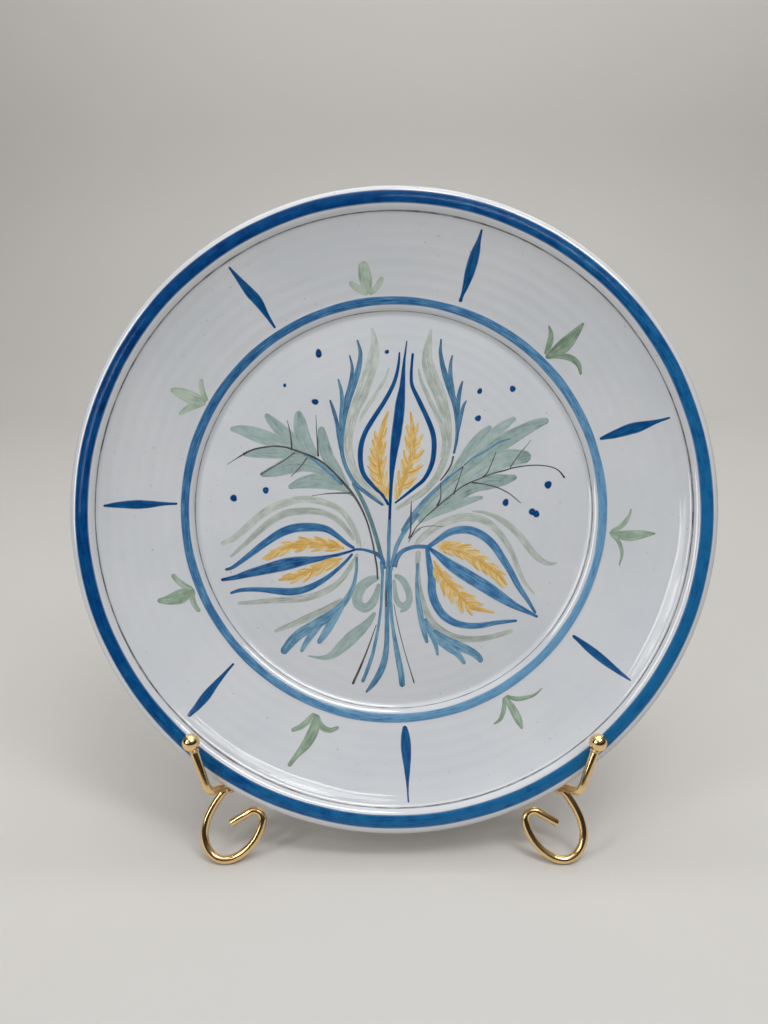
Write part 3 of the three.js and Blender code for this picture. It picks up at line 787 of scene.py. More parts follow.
SAGE_WASHES = [
    [(-10.6, 88.3, 1), (-9.3, 81, 3.6), (-9.8, 74, 5.6), (-12.2, 66, 6.6), (-15.2, 57, 6.4),
     (-19, 48, 5.4), (-21.6, 38, 4.6), (-22, 30, 4.2), (-20, 21, 3.8), (-16, 14, 3.2),
     (-10, 8, 2.4), (-4, 2, 1.2)],
    [(-2.3, 69, 0.9), (-5, 62, 1.6), (-10, 54, 2), (-14, 48, 1.8), (-17, 42, 1.2)],
    [(18.2, 87.8, 1), (16.7, 80, 3.8), (16.4, 72, 5.6), (18.6, 64, 6.6), (22, 56, 6.4), (25, 47, 5),
     (26.2, 40, 4.2), (26.5, 32, 3.6), (24.5, 24, 3.4), (21, 16, 3.4), (15, 9, 3.2), (8, 4.5, 2.8),
     (1, 0, 1.6)],
    [(12, 68.5, 0.9), (13.5, 62, 1.6), (17, 54, 2.2), (21, 46, 2.4), (23.5, 40, 2.6),
     (24.5, 33, 2.4), (23.5, 25, 2)],
    [(-84, -17, 2.4), (-77, -13.5, 3.2), (-70, -7.5, 3.6), (-63, -1.5, 3.8), (-55, 2.5, 3.8),
     (-46, 4.7, 3.6), (-38, 4.5, 3.4), (-30, 2, 3.2), (-24, -2, 3), (-20, -8, 3), (-17.5, -14, 2.6),
     (-16.5, -19, 2)],
    [(-79.5, -23, 1.2), (-74, -18.5, 2.2), (-67, -12, 3), (-60, -6, 3.4), (-52, -1.8, 3.6),
     (-43, -0.8, 3.5), (-35, -1.5, 3.2), (-28, -4.5, 2.8), (-23, -9.5, 2.4), (-19, -15, 2)],
    [(-76, -45.6, 1.4), (-70, -45.3, 2.2), (-60, -44.4, 2.8), (-50, -43.9, 3.2), (-40, -42.3, 3.4),
     (-31, -38.6, 3.2), (-25, -33.5, 2.8), (-20.5, -27, 2.4), (-17.5, -21.5, 1.8)],
    [(-58, -59.3, 1.8), (-48, -55.4, 3.2), (-40, -51.8, 3.4), (-34, -48.8, 3), (-28, -45.2, 2),
     (-25, -43, 1)],
    [(10.5, -18, 2), (13, -14.3, 2.8), (17, -11, 3.4), (22, -7.6, 3.8), (28, -4.9, 4),
     (34, -3.7, 4), (40, -4.2, 3.8), (45, -6, 3.6), (50, -10, 3.4), (54, -15, 3.2), (58, -22, 2.8),
     (61, -30, 2.2), (64, -36, 1.6), (68.5, -41.3, 0.8)],
    [(38, -0.8, 0.8), (45, -1.8, 1.8), (52, -5, 2.8), (58, -9.5, 3.2), (63, -15, 3.6),
     (68, -21.5, 3.4), (72, -25, 2.8), (76, -26.4, 1.8), (79.5, -26, 0.9)],
    [(12, -20, 2.6), (11.7, -28, 2.4), (12.5, -38, 2.4), (14.5, -46, 3), (17.5, -53, 3.4),
     (22, -58, 3.6), (28, -61.6, 3.6), (35, -63, 3.4), (43, -62.8, 3), (50, -61.2, 2.6),
     (58, -59, 1.8)],
]

BOW = [
    [(-7, -33, 2.2), (-11, -34.3, 4.2), (-15, -37, 5.2), (-17.6, -41.5, 5.4), (-17.2, -46, 5),
     (-13.8, -48, 4.6), (-10.5, -45.5, 4.4), (-8.4, -41, 3.2), (-7.2, -36, 1.6)],
    [(0.2, -32, 2), (3.6, -33.8, 3.2), (6.2, -37.4, 3.4), (7.6, -41.5, 3.4), (7.2, -45, 3.4),
     (4.2, -46.8, 3.2), (1.4, -44, 2.6), (0.6, -38, 2), (0.2, -34, 1.4)],
    [(8, -45.6, 2), (6, -48, 2.4), (3, -49.8, 1.2)],
    [(-9, -50, 1.6), (-13, -55.5, 4), (-19.5, -61.5, 6.2), (-25, -66.5, 6), (-29.5, -70.5, 4),
     (-34.5, -72, 2), (-41.5, -71.2, 0.7)],
]

LEFT_LEAF = [
    [(-79.6, 39.2, 1.8), (-74, 38.6, 5), (-67, 36.4, 7), (-60, 34, 7), (-53, 31.5, 5.4),
     (-45, 28, 2)],
    [(-62.4, 46.4, 2), (-59.5, 43, 4.6), (-55, 38.8, 6), (-50, 34.5, 6), (-45, 30, 4),
     (-41, 27, 1.6)],
    [(-46.4, 48, 2.6), (-45.8, 43, 6), (-44.8, 37, 7.6), (-42.6, 31, 7.6), (-38, 25.5, 4)],
    [(-35.4, 40.3, 2.4), (-34.6, 35.5, 5), (-33.6, 30, 6.2), (-31.5, 24.5, 6), (-27, 18.5, 4),
     (-22, 11, 1.6)],
    [(-73.3, 26.5, 1.2), (-68, 27.3, 4.4), (-60, 27.5, 5.4), (-52, 27, 5), (-44, 25.2, 3)],
    [(-64.8, 16.8, 2), (-58, 18.6, 6), (-50.5, 21.5, 8.6), (-43, 22.4, 8), (-36, 20, 6),
     (-29, 14.5, 3)],
    [(-51.2, 10.6, 1.8), (-45, 12.8, 5.4), (-38, 13.8, 7.4), (-31, 13, 7), (-25, 10.8, 4.4),
     (-19, 6.5, 1.4)],
]

RIGHT_LEAF = [
    [(47.3, 40.6, 1.6), (43, 36, 5), (38.5, 30, 6.4), (34, 23.5, 6.4), (28, 15.5, 5), (22, 9, 3)],
    [(59.3, 44.6, 2), (54, 41, 4.6), (48, 36, 5.8), (41, 29.5, 6.4), (34, 22.5, 6.4), (27, 15, 5)],
    [(75.3, 43.5, 2.6), (69, 41.4, 5), (61, 37.2, 6.8), (53, 32.6, 8), (44, 26.5, 9), (35, 19.5, 9),
     (26, 11.5, 7), (18, 4.5, 6), (11, -2.5, 4.4), (7, -7.5, 2.4)],
    [(66.8, 26, 4.6), (62, 25.4, 7.4), (55, 24.8, 9), (47, 22, 10), (38, 17, 10.4), (29, 10.5, 9),
     (20, 3, 6), (13, -4, 3)],
    [(59.8, 16, 2.2), (54, 14.5, 5.4), (47, 13.6, 7.4), (39, 12, 8), (31, 8, 8), (23, 2.4, 6.4),
     (15, -4.2, 3)],
    [(43.4, 5.9, 1.4), (38, 4.7, 3.2), (32, 3, 4.6), (26, 1, 5.2), (19, -1.8, 4.6), (12, -6, 2.4)],
]

LEAF_TIPS = [
    [(-62.3, 46.2, 1.8), (-59.8, 43.4, 3), (-56.5, 40.3, 2), (-54, 38, 0.8)],
    [(-46.4, 47.6, 2.2), (-45.8, 44, 3.4), (-45.2, 41, 2)],
    [(-35.2, 40, 1.8), (-34.4, 36.5, 2.6), (-33.4, 33, 1.2)],
    [(66.6, 26.2, 4.4), (63, 25.4, 6), (60, 24.6, 3)],
    [(59.6, 16, 2), (55, 14.8, 4.2), (51, 13.8, 2.2)],
]

LEAF_SPINES = [
    [(34, 21.3, 0.9), (38, 24.5, 1.2), (44, 28, 1.4), (50, 31.9, 1.5), (54, 33.6, 1.2),
     (57, 34.3, 0.6)],
    [(34, 21, 1), (28, 16.5, 1.5), (22, 11, 2), (15, 4, 2.4), (9, -3.5, 2.6), (4, -11, 2.2)],
    [(-44, 27, 1), (-38, 23.5, 2), (-31, 17.5, 2.2), (-25, 12, 1.6)],
]

VEINS = [
    [(-73.4, 26.6, 1.3), (-70, 28.4, 0.9), (-65, 29.9, 0.9), (-58, 30.7, 0.9), (-52, 30.1, 1),
     (-47, 28.4, 1), (-41, 26.2, 1), (-36, 23.8, 1), (-30, 18.9, 1.2), (-25, 13.7, 1.3),
     (-20.5, 8.3, 1.3), (-16.5, 2, 1.1), (-13, -6, 0.9), (-10.5, -15, 0.9), (-9.2, -22, 0.9),
     (-8.2, -28, 0.9), (-7.9, -34, 0.7)],
    [(-81, 21.8, 0.25), (-77, 24.4, 0.4), (-73.4, 26.6, 0.9)],
    [(-64.9, 16.9, 0.9), (-60, 19.8, 0.7), (-54, 23.4, 0.6), (-48, 27.7, 0.6)],
    [(-50, 16, 0.4), (-46, 20, 0.5), (-42, 25.2, 0.6)],
    [(-40, 6.6, 0.25), (-31, 7.8, 0.5), (-21, 8, 0.8)],
    [(-51.8, 43.5, 0.25), (-50.5, 38, 0.6), (-49.8, 33, 0.8), (-49.5, 28.7, 0.9)],
    [(-37.8, 46, 0.2), (-37.5, 38, 0.5), (-37, 31, 0.8), (-36.7, 25.6, 1.1)],
    [(83.2, 15.3, 1), (80, 19, 0.6), (76, 20.8, 0.6), (70, 21.5, 0.6), (64, 21.2, 0.7),
     (58, 20.3, 0.7), (54, 19, 0.7), (48, 17.4, 0.7), (42, 15, 0.6), (37, 13, 0.6), (33, 11, 0.6),
     (28, 7, 0.6), (22, 2, 0.6), (16, -3.2, 0.5), (11, -8.5, 0.5), (8, -13.5, 0.6)],
    [(37.8, 13.1, 0.9), (43, 12.5, 0.7), (50, 10.8, 0.7), (56, 7.8, 0.6), (60.3, 4.3, 0.5),
     (62, 3, 0.3)],
    [(49.8, 28, 0.4), (48.2, 24, 0.5), (45.5, 18, 0.6), (43, 15.5, 0.8)],
    [(67, 34, 0.2), (62, 28, 0.4), (59, 24, 0.5), (56.5, 20.3, 0.5)],
    [(33.8, 21, 0.5), (31.5, 14, 0.5), (29, 7.3, 0.9)],
    [(22.8, 13, 0.5), (22.8, 6, 0.7), (21, 1.5, 1)],
    [(8.5, 4, 0.3), (8.4, -3, 0.9), (8.2, -10, 0.6), (7.3, -14.3, 0.8)],
    [(29, 26, 1), (27.8, 21.5, 0.9), (25, 17, 0.8), (22.5, 14, 0.6)],
    [(7.5, -15, 0.3), (10, -11, 0.35), (14, -8.6, 0.35), (19, -8, 0.35), (24, -8.3, 0.25)],
    [(7, -16, 0.3), (9.5, -12.4, 0.35), (13, -9.4, 0.3)],
    [(4, -21.5, 0.35), (2.2, -24.6, 0.4), (1.1, -28.3, 0.9)],
    [(0, -46, 0.3), (2, -56, 0.4), (5, -68, 0.4), (8, -78, 0.5), (10, -84.5, 0.7)],
    [(-8.5, -56, 0.4), (-12, -66, 0.7), (-15.5, -75, 1), (-20, -85, 1.4)],
    [(-3.5, -39, 0.8), (-3.7, -47.5, 0.8)],
]

DOTS = [
    (-36.5, 75.8, 3.2, 4.4), (-38.2, 52.3, 3.6, 2.9), (-3.3, 76.6, 2.2, 2.2),
    (41.8, 57.5, 2.5, 2.9), (57.8, 58.6, 3.2, 3.0), (41, 44.3, 2.9, 3.3), (75, 12, 3.7, 3.8),
    (54.4, 3.4, 3.2, 3.6), (67.4, -1.2, 3.6, 3.6), (69.3, -2.2, 3.2, 3.6), (-62.2, 9.3, 3.2, 3.2),
    (-77.8, 5.5, 3.2, 3.8), (-53, 60.3, 1.7, 1.9),
]

FEATHERS = [
    {
        "spine": [(-2.6, 48, 1), (-4.6, 42, 2), (-6.2, 36, 2.6), (-7.2, 29, 3), (-7.1, 21, 3.2),
                  (-5.6, 13, 3.2), (-4.2, 7.5, 1.8), (-3.6, 4.5, 0.6)],
        "barbs": [(-9.5, 38), (-10.6, 34), (-11.8, 30), (-12.6, 26), (-13, 21.5), (-12, 17),
                  (-10, 13), (-3.2, 40), (-3.5, 33), (-3.6, 26), (-3.4, 19), (-2.8, 13)],
    },
    {
        "spine": [(8.1, 47.5, 0.9), (9.2, 40, 2), (9.5, 33, 2.8), (8.8, 26, 3), (7.2, 20, 3),
                  (5, 14, 2.8), (3, 9, 2), (1.6, 5, 0.6)],
        "barbs": [(5.8, 41), (12, 42), (5.2, 35.8), (14.5, 36.5), (4.8, 29), (15, 29), (3.5, 24.5),
                  (14.5, 21.5), (2, 19), (11.5, 15.5), (1.4, 13)],
    },
    {
        "spine": [(-64, -24, 1), (-56, -19.8, 2.8), (-48, -17.4, 3.8), (-40, -16.8, 3.8),
                  (-32, -17.4, 3), (-24, -18.9, 1)],
        "barbs": [(-60, -19.8), (-54.5, -15.8), (-46.5, -13.2), (-38.5, -13), (-32, -14.6),
                  (-62, -25), (-56, -23), (-48, -21), (-40, -20.6), (-33, -20.2)],
    },
    {
        "spine": [(-56, -34.3, 0.9), (-49, -32.8, 2.4), (-42, -30.4, 3), (-35, -27.6, 2.6),
                  (-29, -25.2, 1.8), (-25, -23.6, 0.8)],
        "barbs": [(-54, -32.2), (-47, -29.8), (-41, -27.2), (-35, -25.2), (-50, -36.2),
                  (-44, -35.6), (-38, -32.4), (-33, -30)],
    },
    {
        "spine": [(22.5, -19, 1), (28, -18.8, 2.8), (34, -20.6, 3.4), (40, -24, 3.4),
                  (46, -28.3, 3.2), (51, -32.2, 2.4), (55, -36.8, 1)],
        "barbs": [(28, -15.4), (33, -15.8), (38, -17.2), (42, -20.2), (46.5, -23.5), (51, -27.6),
                  (54.5, -31.5), (29, -22.4), (34, -24.6), (38, -26.6), (41.5, -30.2), (45.5, -32),
                  (50, -35), (53, -38.4)],
    },
    {
        "spine": [(19.4, -24.6, 0.9), (22, -29.4, 2.2), (26, -35, 3), (30, -40, 3.4),
                  (34, -44.3, 3.2), (39, -47.8, 2.2), (49, -50, 0.9)],
        "barbs": [(28.2, -33.4), (34, -38), (40, -42.5), (43.8, -46), (21.4, -36), (24.6, -42.5),
                  (28.2, -46.5), (33, -50.8), (38, -51.6)],
    },
]

DASHES = [
    [(72.6, 136.5, 1), (72.5, 132, 2), (72.4, 126, 4.6), (72.3, 119, 5), (72.2, 112, 3),
     (72.3, 107.5, 1.6), (72.3, 104.5, 2)],
    [(18.4, 135.5, 0.9), (18.5, 130, 2), (18.6, 123, 4.8), (18.8, 118, 5.2), (18.8, 111, 3.8),
     (18.9, 104.5, 1.2)],
    [(-35.9, 136, 0.8), (-35.9, 131, 2), (-35.7, 122, 3.8), (-35.5, 115, 3.8), (-35.3, 109, 2.4),
     (-35.2, 105, 1.4)],
    [(-87.2, 136.5, 0.8), (-87.2, 130, 1.2), (-87.1, 123, 3), (-87.1, 115, 4.9), (-87.1, 109, 4.4),
     (-87.1, 104, 1.8)],
    [(-134.9, 136, 1.8), (-134.9, 131, 3.2), (-135.2, 125, 4.4), (-135.6, 118.5, 3),
     (-135.9, 112, 1.6), (-136.1, 106.5, 1)],
    [(-180.7, 135.5, 0.9), (-180.9, 130, 2.8), (-181.1, 122, 4.2), (-181.2, 116, 3.4),
     (-181.4, 110, 1.8), (-181.5, 104, 1.1)],
    [(-235.7, 136.5, 0.9), (-236, 130, 2.6), (-236.4, 123, 4.6), (-236.8, 118, 4.6),
     (-236.8, 111, 2.4), (-236.8, 104, 1)],
]

SPRIGS = [
    [[(44.5, 125.5, 0.9), (44.2, 120, 4.4), (43.9, 113, 6.8), (44.4, 107, 4.6), (45, 103.2, 1.8)],
     [(49.9, 114.5, 0.8), (48.3, 112.6, 2.2), (46.8, 109, 3), (45.6, 104.2, 2)],
     [(35.7, 110.2, 0.9), (38.2, 112, 2.3), (40.8, 111, 3), (43.2, 107.4, 2.6),
      (44.8, 103.6, 1.8)]],
    [[(-5.3, 124, 0.8), (-5.7, 119, 3.8), (-6.4, 112.5, 5.4), (-6.4, 107.5, 3.6),
      (-6.2, 104.2, 1.6)],
     [(0.2, 113.2, 0.6), (-2, 112, 1.8), (-4.3, 109, 2.4), (-5.9, 104.8, 1.8)],
     [(-14, 111, 0.6), (-11, 111, 1.5), (-8.2, 108.8, 2), (-6.5, 104.8, 1.6)]],
    [[(-59.7, 120.5, 1.2), (-59.4, 116, 3.8), (-59.2, 111, 3.8), (-59.3, 104.4, 1.6)],
     [(-50.3, 111, 0.5), (-53.2, 111, 1.4), (-56.8, 108.4, 2.2), (-59, 104.6, 1.6)],
     [(-65.1, 113, 0.6), (-63, 112.2, 1.8), (-60.8, 108.4, 2.2), (-59.6, 104.6, 1.6)]],
    [[(-112.4, 130.3, 2.2), (-111.6, 125, 2.6), (-110.4, 118, 5), (-110, 111, 5.2), (-111, 105, 2)],
     [(-104.2, 107.6, 1.5), (-106.2, 110, 2.4), (-108.8, 109.2, 3.2), (-110.8, 105.4, 2.6)],
     [(-114.9, 116, 1.8), (-113.2, 112.8, 2.8), (-111.8, 108, 3), (-111.2, 105, 2)]],
    [[(-158.9, 120.2, 1.8), (-158.2, 116, 4.6), (-157.8, 110.5, 7), (-158, 106, 5),
      (-158.2, 103.4, 2.4)],
     [(-152.2, 105.4, 1.9), (-154.4, 106, 2.4), (-156.6, 105.4, 2.8), (-158, 103.8, 2)],
     [(-163.7, 110.4, 1.9), (-161.8, 109, 2.6), (-159.8, 106.6, 2.8), (-158.4, 104, 2)]],
    [[(-208.2, 120.3, 2), (-208.6, 115, 5.6), (-209, 109.5, 6.2), (-209.9, 104, 2)],
     [(-203.8, 112, 1.3), (-205.6, 110.4, 2.8), (-207.8, 107.4, 3.6), (-209.6, 104, 2)],
     [(-214.1, 111.2, 2), (-212.6, 109.4, 2.6), (-211, 106.4, 2.6), (-210.2, 103.8, 1.6)]],
    [[(-262.9, 118.8, 4), (-262.9, 114.5, 6), (-263, 109.5, 6), (-263.3, 104.2, 2.4)],
     [(-259, 110.8, 2.4), (-260, 108.6, 3.2), (-261.6, 106, 3), (-263, 104, 1.8)],
     [(-267.1, 111.4, 2.2), (-266.4, 108.8, 2.8), (-265, 106, 2.6), (-263.6, 104, 1.6)]],
]


def polar(points):
    """Points given by angle in degrees, radius and width as across, up and width."""
    return [
        (r * math.cos(math.radians(angle)), r * math.sin(math.radians(angle)), width)
        for angle, r, width in points
    ]


# ---- Wire -------------------------------------------------------------------------------------


def bent_through(corners, bends):
    """A wire's centre line in mm, straight between corners and bent round each inner corner."""
    corners = [Vector(c) for c in corners]
    line = [corners[0]]
    for before, corner, after, bend in zip(corners, corners[1:], corners[2:], bends):
        come, go = (corner - before).normalized(), (after - corner).normalized()
        turn = come.angle(go)
        start = corner - come * bend * math.tan(turn / 2)
        axis = come.cross(go).normalized()
        centre = start + axis.cross(come) * bend
        steps = max(4, math.ceil(math.degrees(turn) / 4))
        for k in range(steps + 1):
            swing = Matrix.Rotation(turn * k / steps, 3, axis)
            line.append(swing @ (start - centre) + centre)
    return line + [corners[-1]]


def curled(start_degrees, bends, end_length):
    """A wire in the upright plane that turns left through arcs of given radius and angle."""
    angle, point = math.radians(start_degrees), Vector((0, 0, 0))
    line = [point.copy()]
    for radius, degrees in bends:
        centre = point + radius * Vector((-math.sin(angle), 0, math.cos(angle)))
        steps = max(4, math.ceil(degrees / 4))
        for k in range(1, steps + 1):
            now = angle + math.radians(degrees) * k / steps
            point = centre - radius * Vector((-math.sin(now), 0, math.cos(now)))
            line.append(point)
        angle = now
    return line + [point + end_length * Vector((math.cos(angle), 0, math.sin(angle)))]


def circle_turns(sides):
    """Angles of evenly spaced points round a circle."""
    return [2 * math.pi * k / sides for k in range(sides)]


def tube(line, radius, sides=20):
    """Points and faces of a round wire in mm along a line, its cut ends softly rounded."""
    line = [Vector(p) for p in line]
    around = [line[0], *line, line[-1]]
    headings = [(after - before).normalized() for before, after in zip(around, around[2:])]
    soft_end, profile = 0.5, [(1.0, 0.55), (0.75, 0.80), (0.4, 0.95), (0, 1)]
    stations = [(p, h, radius) for p, h in zip(line, headings)][1:-1]
    for place, heading, inward in ((line[0], headings[0], 1), (line[-1], headings[-1], -1)):
        end = [
            (place + heading * inward * soft_end * (1 - k), heading, radius * share)
            for k, share in profile
        ]
        stations = end + stations if inward > 0 else stations + end[::-1]
    side = headings[0].orthogonal().normalized()
    points = []
    for place, heading, size in stations:
        side = (side - heading * side.dot(heading)).normalized()
        other = heading.cross(side)
        points += [
            place + (side * math.cos(turn) + other * math.sin(turn)) * size
            for turn in circle_turns(sides)
        ]
    faces = grid_faces(len(stations), sides, wrap_columns=True)
    faces.append(tuple(range(sides)))
    faces.append(tuple(range(len(points) - 1, len(points) - 1 - sides, -1)))
    return points, faces


def ball_mesh(centre, radii, rings=20, sides=32):
    """Points and faces of a ball or a pressed bead in mm."""
    centre = Vector(centre)
    wide, deep, tall = radii
    points, faces = [centre + Vector((0, 0, tall))], []
    for i in range(1, rings):
        down = math.pi * i / rings
        for turn in circle_turns(sides):
            x, y = math.sin(down) * math.cos(turn), math.sin(down) * math.sin(turn)
            points.append(centre + Vector((wide * x, deep * y, tall * math.cos(down))))
    points.append(centre - Vector((0, 0, tall)))
    faces += [(0, 1 + k, 1 + (k + 1) % sides) for k in range(sides)]
    faces += grid_faces(rings - 1, sides, 1, wrap_columns=True)
    base = 1 + (rings - 2) * sides
    faces += [(base + (k + 1) % sides, base + k, len(points) - 1) for k in range(sides)]
    return points, faces


def joined(parts):
    """One set of points and faces out of several."""
    points, faces = [], []
    for more, loops in parts:
        faces += [tuple(i + len(points) for i in loop) for loop in loops]
        points += more
    return points, faces


def mirrored(line):
    """The same line on the other side of the easel."""
    return [Vector((-p.x, p.y, p.z)) for p in map(Vector, line)]


# Sizes of the easel and of what it holds, in mm. GAP is the clearance between wires that touch.
GAP = 0.3
PLATE_RADIUS, PLATE_DEPTH, LIP_THICKNESS = 150, 29.5, 7.2
BAR_HEIGHTS = {"lower": -95, "hinge": PIVOT_UP, "stop": 34}
SHOULDER_UP = 61
ARM_DROP = 4.2
LEG_HALF_WIDTH = 22
SLEEVE_WALL = 1


class EaselPlan:
    """The easel's centre lines in the plate's leaning frame, across, back and up in mm."""

    def __init__(self, settings):
        self.radius = settings.wire * 500
        self.side_depth = PLATE_DEPTH + GAP + self.radius
        self.bar_depth = self.side_depth + self.radius * 2 + GAP
        reach, turn = PLATE_RADIUS + self.radius + GAP, math.radians(58.6)
        hook = Vector((-reach * math.cos(turn), 0, -reach * math.sin(turn)))
        slope = Vector((16, self.side_depth + ARM_DROP, -4))
        self.foot = hook - slope * ((ARM_DROP + LIP_THICKNESS) / slope.y)
        self.foot.y = -ARM_DROP
        self.tip = Vector((self.foot.x - 7.4, -6.6, self.foot.z + 23.5))
        self.rear = self.foot + slope
        self.shoulder = Vector((-25, self.side_depth, SHOULDER_UP))
        self.crown = Vector((-GAP / 2, self.side_depth, SHOULDER_UP))
        corners = [self.tip, self.foot, self.rear, self.shoulder, self.crown]
        self.side = bent_through(corners, [6, 7, 28])
        self.scroll = self.scroll_line()

    def scroll_line(self):
        """The curled foot, which leans back a little and stops short of the arm it is brazed to."""
        bends = [(45, 17), (24, 17), (13, 49), (9, 54), (13, 22), (22.5, 42), (16, 14), (4, 126)]
        start = 229
        line = curled(start, bends, 10.5)
        lean = Matrix.Rotation(math.radians(-9), 3, "X")
        heading = lean @ Vector((math.cos(math.radians(start)), 0, math.sin(math.radians(start))))
        arm = self.rear - self.foot
        top = self.foot + arm * ((10.5 - self.foot.y) / arm.y)
        self.scroll_top = top
        slant = heading.angle(arm)
        top = top + heading * (self.radius * (1 + abs(math.cos(slant))) + GAP) / math.sin(slant)
        return [lean @ p + top for p in line]

    def side_x(self, height):
        share = (height - self.rear.z) / (self.shoulder.z - self.rear.z)
        return abs(self.rear.x + (self.shoulder.x - self.rear.x) * share)


def wire_piece(name, parts, body, nodes, material):
    points, faces = joined(parts)
    made = piece(name, leaned(points), faces, material, body)
    made.data.set_sharp_from_angle(angle=math.radians(50))
    if nodes:
        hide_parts(*nodes)


# ---- Operators --------------------------------------------------------------------------------


class ThrowPlate(bpy.types.Operator):
    """Throw the plate's body and glaze it white"""

    bl_idname = "painted_plate.throw_plate"
    bl_label = "Plate body"

    def execute(self, context):
        section = np.vstack([FACE[1:], back_section()[:-1]])
        sides = 360
        angles = np.linspace(0, 2 * math.pi, sides, endpoint=False)
        rings = [
            np.stack([r * np.cos(angles), np.full(sides, depth), r * np.sin(angles)], -1)
            for r, depth in section
        ]
        places = np.vstack([np.array([[0, 20.5, 0]])] + rings + [np.array([[0, 26.7, 0]])])
        faces = grid_faces(len(section), sides, 1, wrap_columns=True)
        last = len(places) - 1
        faces += [(0, 1 + (k + 1) % sides, 1 + k) for k in range(sides)]
        faces += [(last, last - sides + k, last - sides + (k + 1) % sides) for k in range(sides)]
        faces = [tuple(reversed(f)) for f in faces]
        made = piece("plate_body", leaned(places), faces, glaze_material(), "plate")
        keep_places(made, places)
        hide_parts("plate")
        return {"FINISHED"}


# Radii in mm, and each hairline's radius, width, waver and load of paint
RIM_BAND_AT, WELL_RING_AT = 143.9, 100.6
HAIRLINES = [(138.4, 0.55, 0.16, 0.45), (96.2, 0.45, 0.12, 0.25)]


class BandRim(bpy.types.Operator):
    """Draw the blue bands and brown hairlines as the plate turns"""

    bl_idname = "painted_plate.band_rim"
    bl_label = "Bands and hairlines"

    def execute(self, context):
        settings = context.scene.plate_settings
        height = settings.paint_height * 1000
        # Both blue bands get painted shade at their upper left and a painted highlight at their
        # lower right
        band = Brush(11, height * 0.9)
        band.ring(RIM_BAND_AT, settings.rim_band_width * 1000, waver=0.3, tone=0.36, painted_shade_swing=0.30)
        band.piece("rim_band", wash("band_paint"))
        ring = Brush(12, height * 0.6)
        ring.ring(WELL_RING_AT, settings.ring_width * 1000, waver=0.3, tone=0.33, painted_shade_swing=0.30)
        ring.piece("well_ring", wash("ring_blue"))
        lines = Brush(13, height * 0.5)
        for radius, width, waver, tone in HAIRLINES:
            lines.ring(radius, width, waver=waver, waves=(2, 5, 9, 17), tone=tone)
        lines.piece("hairlines", line_paint())
        return {"FINISHED"}


class DashFlange(bpy.types.Operator):
    """Paint the seven blue dashes and the seven green sprigs round the flange"""

    bl_idname = "painted_plate.dash_flange"
    bl_label = "Dashes and sprigs"

    def execute(self, context):
        height = context.scene.plate_settings.paint_height * 1000
        dashes = Brush(21, height * 0.8)
        dashes.strokes(map(polar, DASHES), 0.36, wobble=0.035)
        dashes.piece("flange_dashes", wash("cobalt_paint"))
        sprigs = Brush(22, height * 0.4)
        for lobes, tone in zip(SPRIGS, (0.62, 0.40, 0.52, 0.46, 0.44, 0.18, 0.16)):
            sprigs.strokes(map(polar, reversed(lobes)), tone, spread=0.08, wobble=0.04)
        sprigs.piece("flange_sprigs", wash("sprig_green_wash"))
        return {"FINISHED"}


class WashSepals(bpy.types.Operator):
    """Brush the sage washes and the bow"""

    bl_idname = "painted_plate.wash_sepals"
    bl_label = "Sage washes and bow"

    def execute(self, context):
        height = context.scene.plate_settings.paint_height * 1000
        washes = Brush(31, height * 0.3)
        for points in SAGE_WASHES:
            washes.stroke(points)
        washes.piece("sage_washes", wash("sage_wash"))
        bow = Brush(32, height * 0.36)
        bow.strokes(BOW, 0.4)
        bow.piece("ribbon_bow", wash("leaf_green_wash"))
        return {"FINISHED"}


class PaintLeaves(bpy.types.Operator):
    """Paint the two lobed leaves with their dark veins"""

    bl_idname = "painted_plate.paint_leaves"
    bl_label = "Lobed leaves"

    def execute(self, context):
        height = context.scene.plate_settings.paint_height * 1000
        for name, lobes, seed in (("left_leaf", LEFT_LEAF, 41), ("right_leaf", RIGHT_LEAF, 42)):
            leaf = Brush(seed, height * 0.4)
            for points in lobes:
                leaf.stroke(points, tone=leaf.hand.uniform(0.28, 0.62), wobble=0.04)
            leaf.piece(name, wash("leaf_green_wash"))
        tips = Brush(43, height * 0.5)
        tips.strokes(LEAF_TIPS, 0.66)
        tips.piece("leaf_tips", wash("leaf_green_wash"))
        spines = Brush(44, height * 0.55)
        spines.strokes(LEAF_SPINES, 0.4)
        spines.piece("leaf_spines", wash("soft_blue_paint"))
        veins = Brush(45, height)
        veins.strokes(VEINS, 0.55, wobble=0.12)
        veins.piece("dark_veins", vein_paint())
        return {"FINISHED"}


